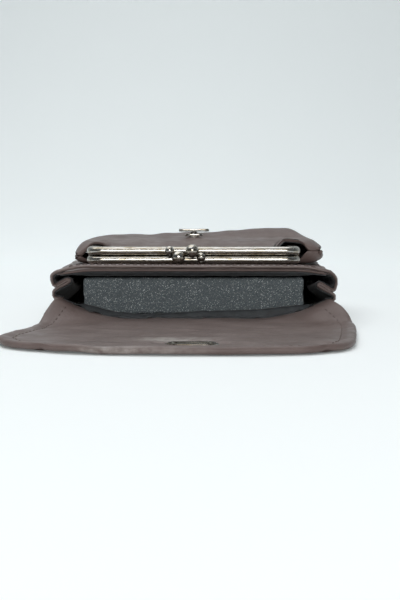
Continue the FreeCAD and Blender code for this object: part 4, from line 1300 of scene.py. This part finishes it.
def pouch_front_layer(name, points, faces, layer, material, finish):
    """One layer in three pieces: the sides, the dome above the shut flap's level, and the mouth."""
    top, bottom = layer
    mesh, shell = thicken(points, faces, top, bottom)
    spots = mesh[shell]
    labels = np.zeros(len(shell), int)
    labels[spots[:, :, 2].max(axis=1) > SHUT_LEVEL + top] = 1
    labels[spots[:, :, 1].min(axis=1) < BLEND_START] = 2
    names = (name + "_side", name + "_dome", name + "_mouth")
    side, dome, mouth = make_split(names, mesh, shell, labels, material)
    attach(side, "front_wall")
    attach(dome, "front_wall")
    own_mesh(dome)
    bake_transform(mouth)
    return dome, mouth


def pouch_front():
    points, faces = pouch_front_surface()
    dome, mouth = pouch_front_layer("pouch_front", points, faces, POUCH_LEATHER, LEATHER, "leather_brown")
    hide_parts("pouch_front", "pouch_crown")
    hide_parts("pouch_mouth_panel")
    inside = trimmed(points, inner_faces(faces))
    dome, _ = pouch_front_layer("pouch_lining", *inside, POUCH_LINING, LINING, "lining_dark")
    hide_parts("pouch_front_lining")


def pouch_back():
    points, faces = pouch_back_surface()
    inside = trimmed(points, inner_faces(faces))
    leather = make("pouch_back", *thicken(points, faces, *POUCH_LEATHER), LEATHER)
    lining = make("pouch_back_inside", *thicken(*inside, *POUCH_LINING), LINING)
    layers = ((leather, "leather_brown", "pouch_back"), (lining, "lining_dark", "pouch_back_lining"))
    for piece, finish, node in layers:
        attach(piece, "front_wall")
        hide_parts(node)


body_leather()
body_lining()
gussets()
gusset_edges()
lip()
lip_stitches()
foam()
flap()
slot_flange()
lock_boss()
pouch_front()
pouch_back()


# Stage, in metres: a pale floor that sweeps up behind, soft light from above and from the front.
FLOOR_HALF = 6.0
FLOOR_FRONT = -6.0
SWEEP_START = 0.7
SWEEP_RADIUS = 0.8
SWEEP_STEPS = 12
WALL_TOP = 2.6
PAPER_WHITE = (0.8, 0.82, 0.82)
PAPER_GLOW = ((0.1, (0.1, 0.11, 0.11)), (0.8, (0.21, 0.23, 0.23)))
ROOM_UP = (0.0, 0.6, 0.8)
ROOM_GREYS = ((0.0, (0.09, 0.1, 0.11)), (0.12, (0.2, 0.22, 0.24)), (0.5, (0.3, 0.33, 0.35)))
ROOM_STRENGTH = 0.8


def paper_material():
    """Pale paper that glows a little, more towards the back."""
    material, graph = new_material("paper")
    depth = graph.add("ShaderNodeSeparateXYZ", {"Vector": graph.place})["Y"]
    colour = {"Base Color": (*PAPER_WHITE, 1), "Emission Strength": 1.0}
    finish = {"Roughness": 0.9, "Specular IOR Level": 0.1}
    graph.shade({"Emission Color": graph.ramp(depth, *PAPER_GLOW)}, {**colour, **finish})
    return material


def paper_floor():
    profile = [(FLOOR_FRONT, 0.0), (SWEEP_START, 0.0)]
    for step in range(1, SWEEP_STEPS + 1):
        angle = math.pi / 2 * step / SWEEP_STEPS
        rise = SWEEP_RADIUS - SWEEP_RADIUS * math.cos(angle)
        profile.append((SWEEP_START + SWEEP_RADIUS * math.sin(angle), rise))
    profile.append((SWEEP_START + SWEEP_RADIUS, WALL_TOP))
    y, z = np.array(profile).T[:, :, None] / MM
    x = np.array([-FLOOR_HALF, FLOOR_HALF]) / MM
    floor = make("floor", *sheet(x, y, z, turned=True), paper_material())


def area_light(name, place, size, energy, colour):
    """Soft rectangular light that points at the middle of the object."""
    light = bpy.data.lights.new(name, "AREA")
    light.shape = "RECTANGLE"
    light.size, light.size_y = size
    light.energy = energy
    light.color = colour
    lamp = bpy.data.objects.new(name, light)
    lamp.location = place
    lamp.rotation_euler = Vector(place).to_track_quat("Z", "Y").to_euler()
    bpy.context.scene.collection.objects.link(lamp)


def room():
    """Pale surroundings, darker low down in front."""
    world = bpy.data.worlds.new("world")
    bpy.context.scene.world = world
    world.use_nodes = True
    graph = Graph(world.node_tree, "Generated")
    sources = {0: graph.place}
    height = graph.add("ShaderNodeVectorMath", sources, {1: ROOM_UP}, operation="DOT_PRODUCT")["Value"]
    colour = graph.ramp(height, *ROOM_GREYS)
    graph.feed(graph.nodes["Background"], {"Color": colour}, {"Strength": ROOM_STRENGTH})


# Camera at the angle of the photograph.
CAMERA_PLACE = (2.9, -439.0, 47.0)
CAMERA_DOWN = 5.3
CAMERA_LENS = 54.6
CAMERA_SENSOR = 36.0
CAMERA_CLIP = 0.01


def camera():
    data = bpy.data.cameras.new("camera")
    data.lens = CAMERA_LENS
    data.sensor_width = CAMERA_SENSOR
    data.clip_start = CAMERA_CLIP
    view = bpy.data.objects.new("camera", data)
    view.location = [place * MM for place in CAMERA_PLACE]
    view.rotation_euler = (math.radians(90 - CAMERA_DOWN), 0, 0)
    bpy.context.scene.collection.objects.link(view)
    bpy.context.scene.camera = view
    bpy.context.scene.view_settings.view_transform = "Standard"


paper_floor()
area_light("top", place=(-0.25, 0.15, 1.1), size=(1.5, 1.2), energy=11.5, colour=(0.97, 0.99, 1.0))
area_light("front", place=(0.05, -0.95, 0.32), size=(0.45, 0.34), energy=4.2, colour=(1.0, 0.98, 0.96))
room()
camera()
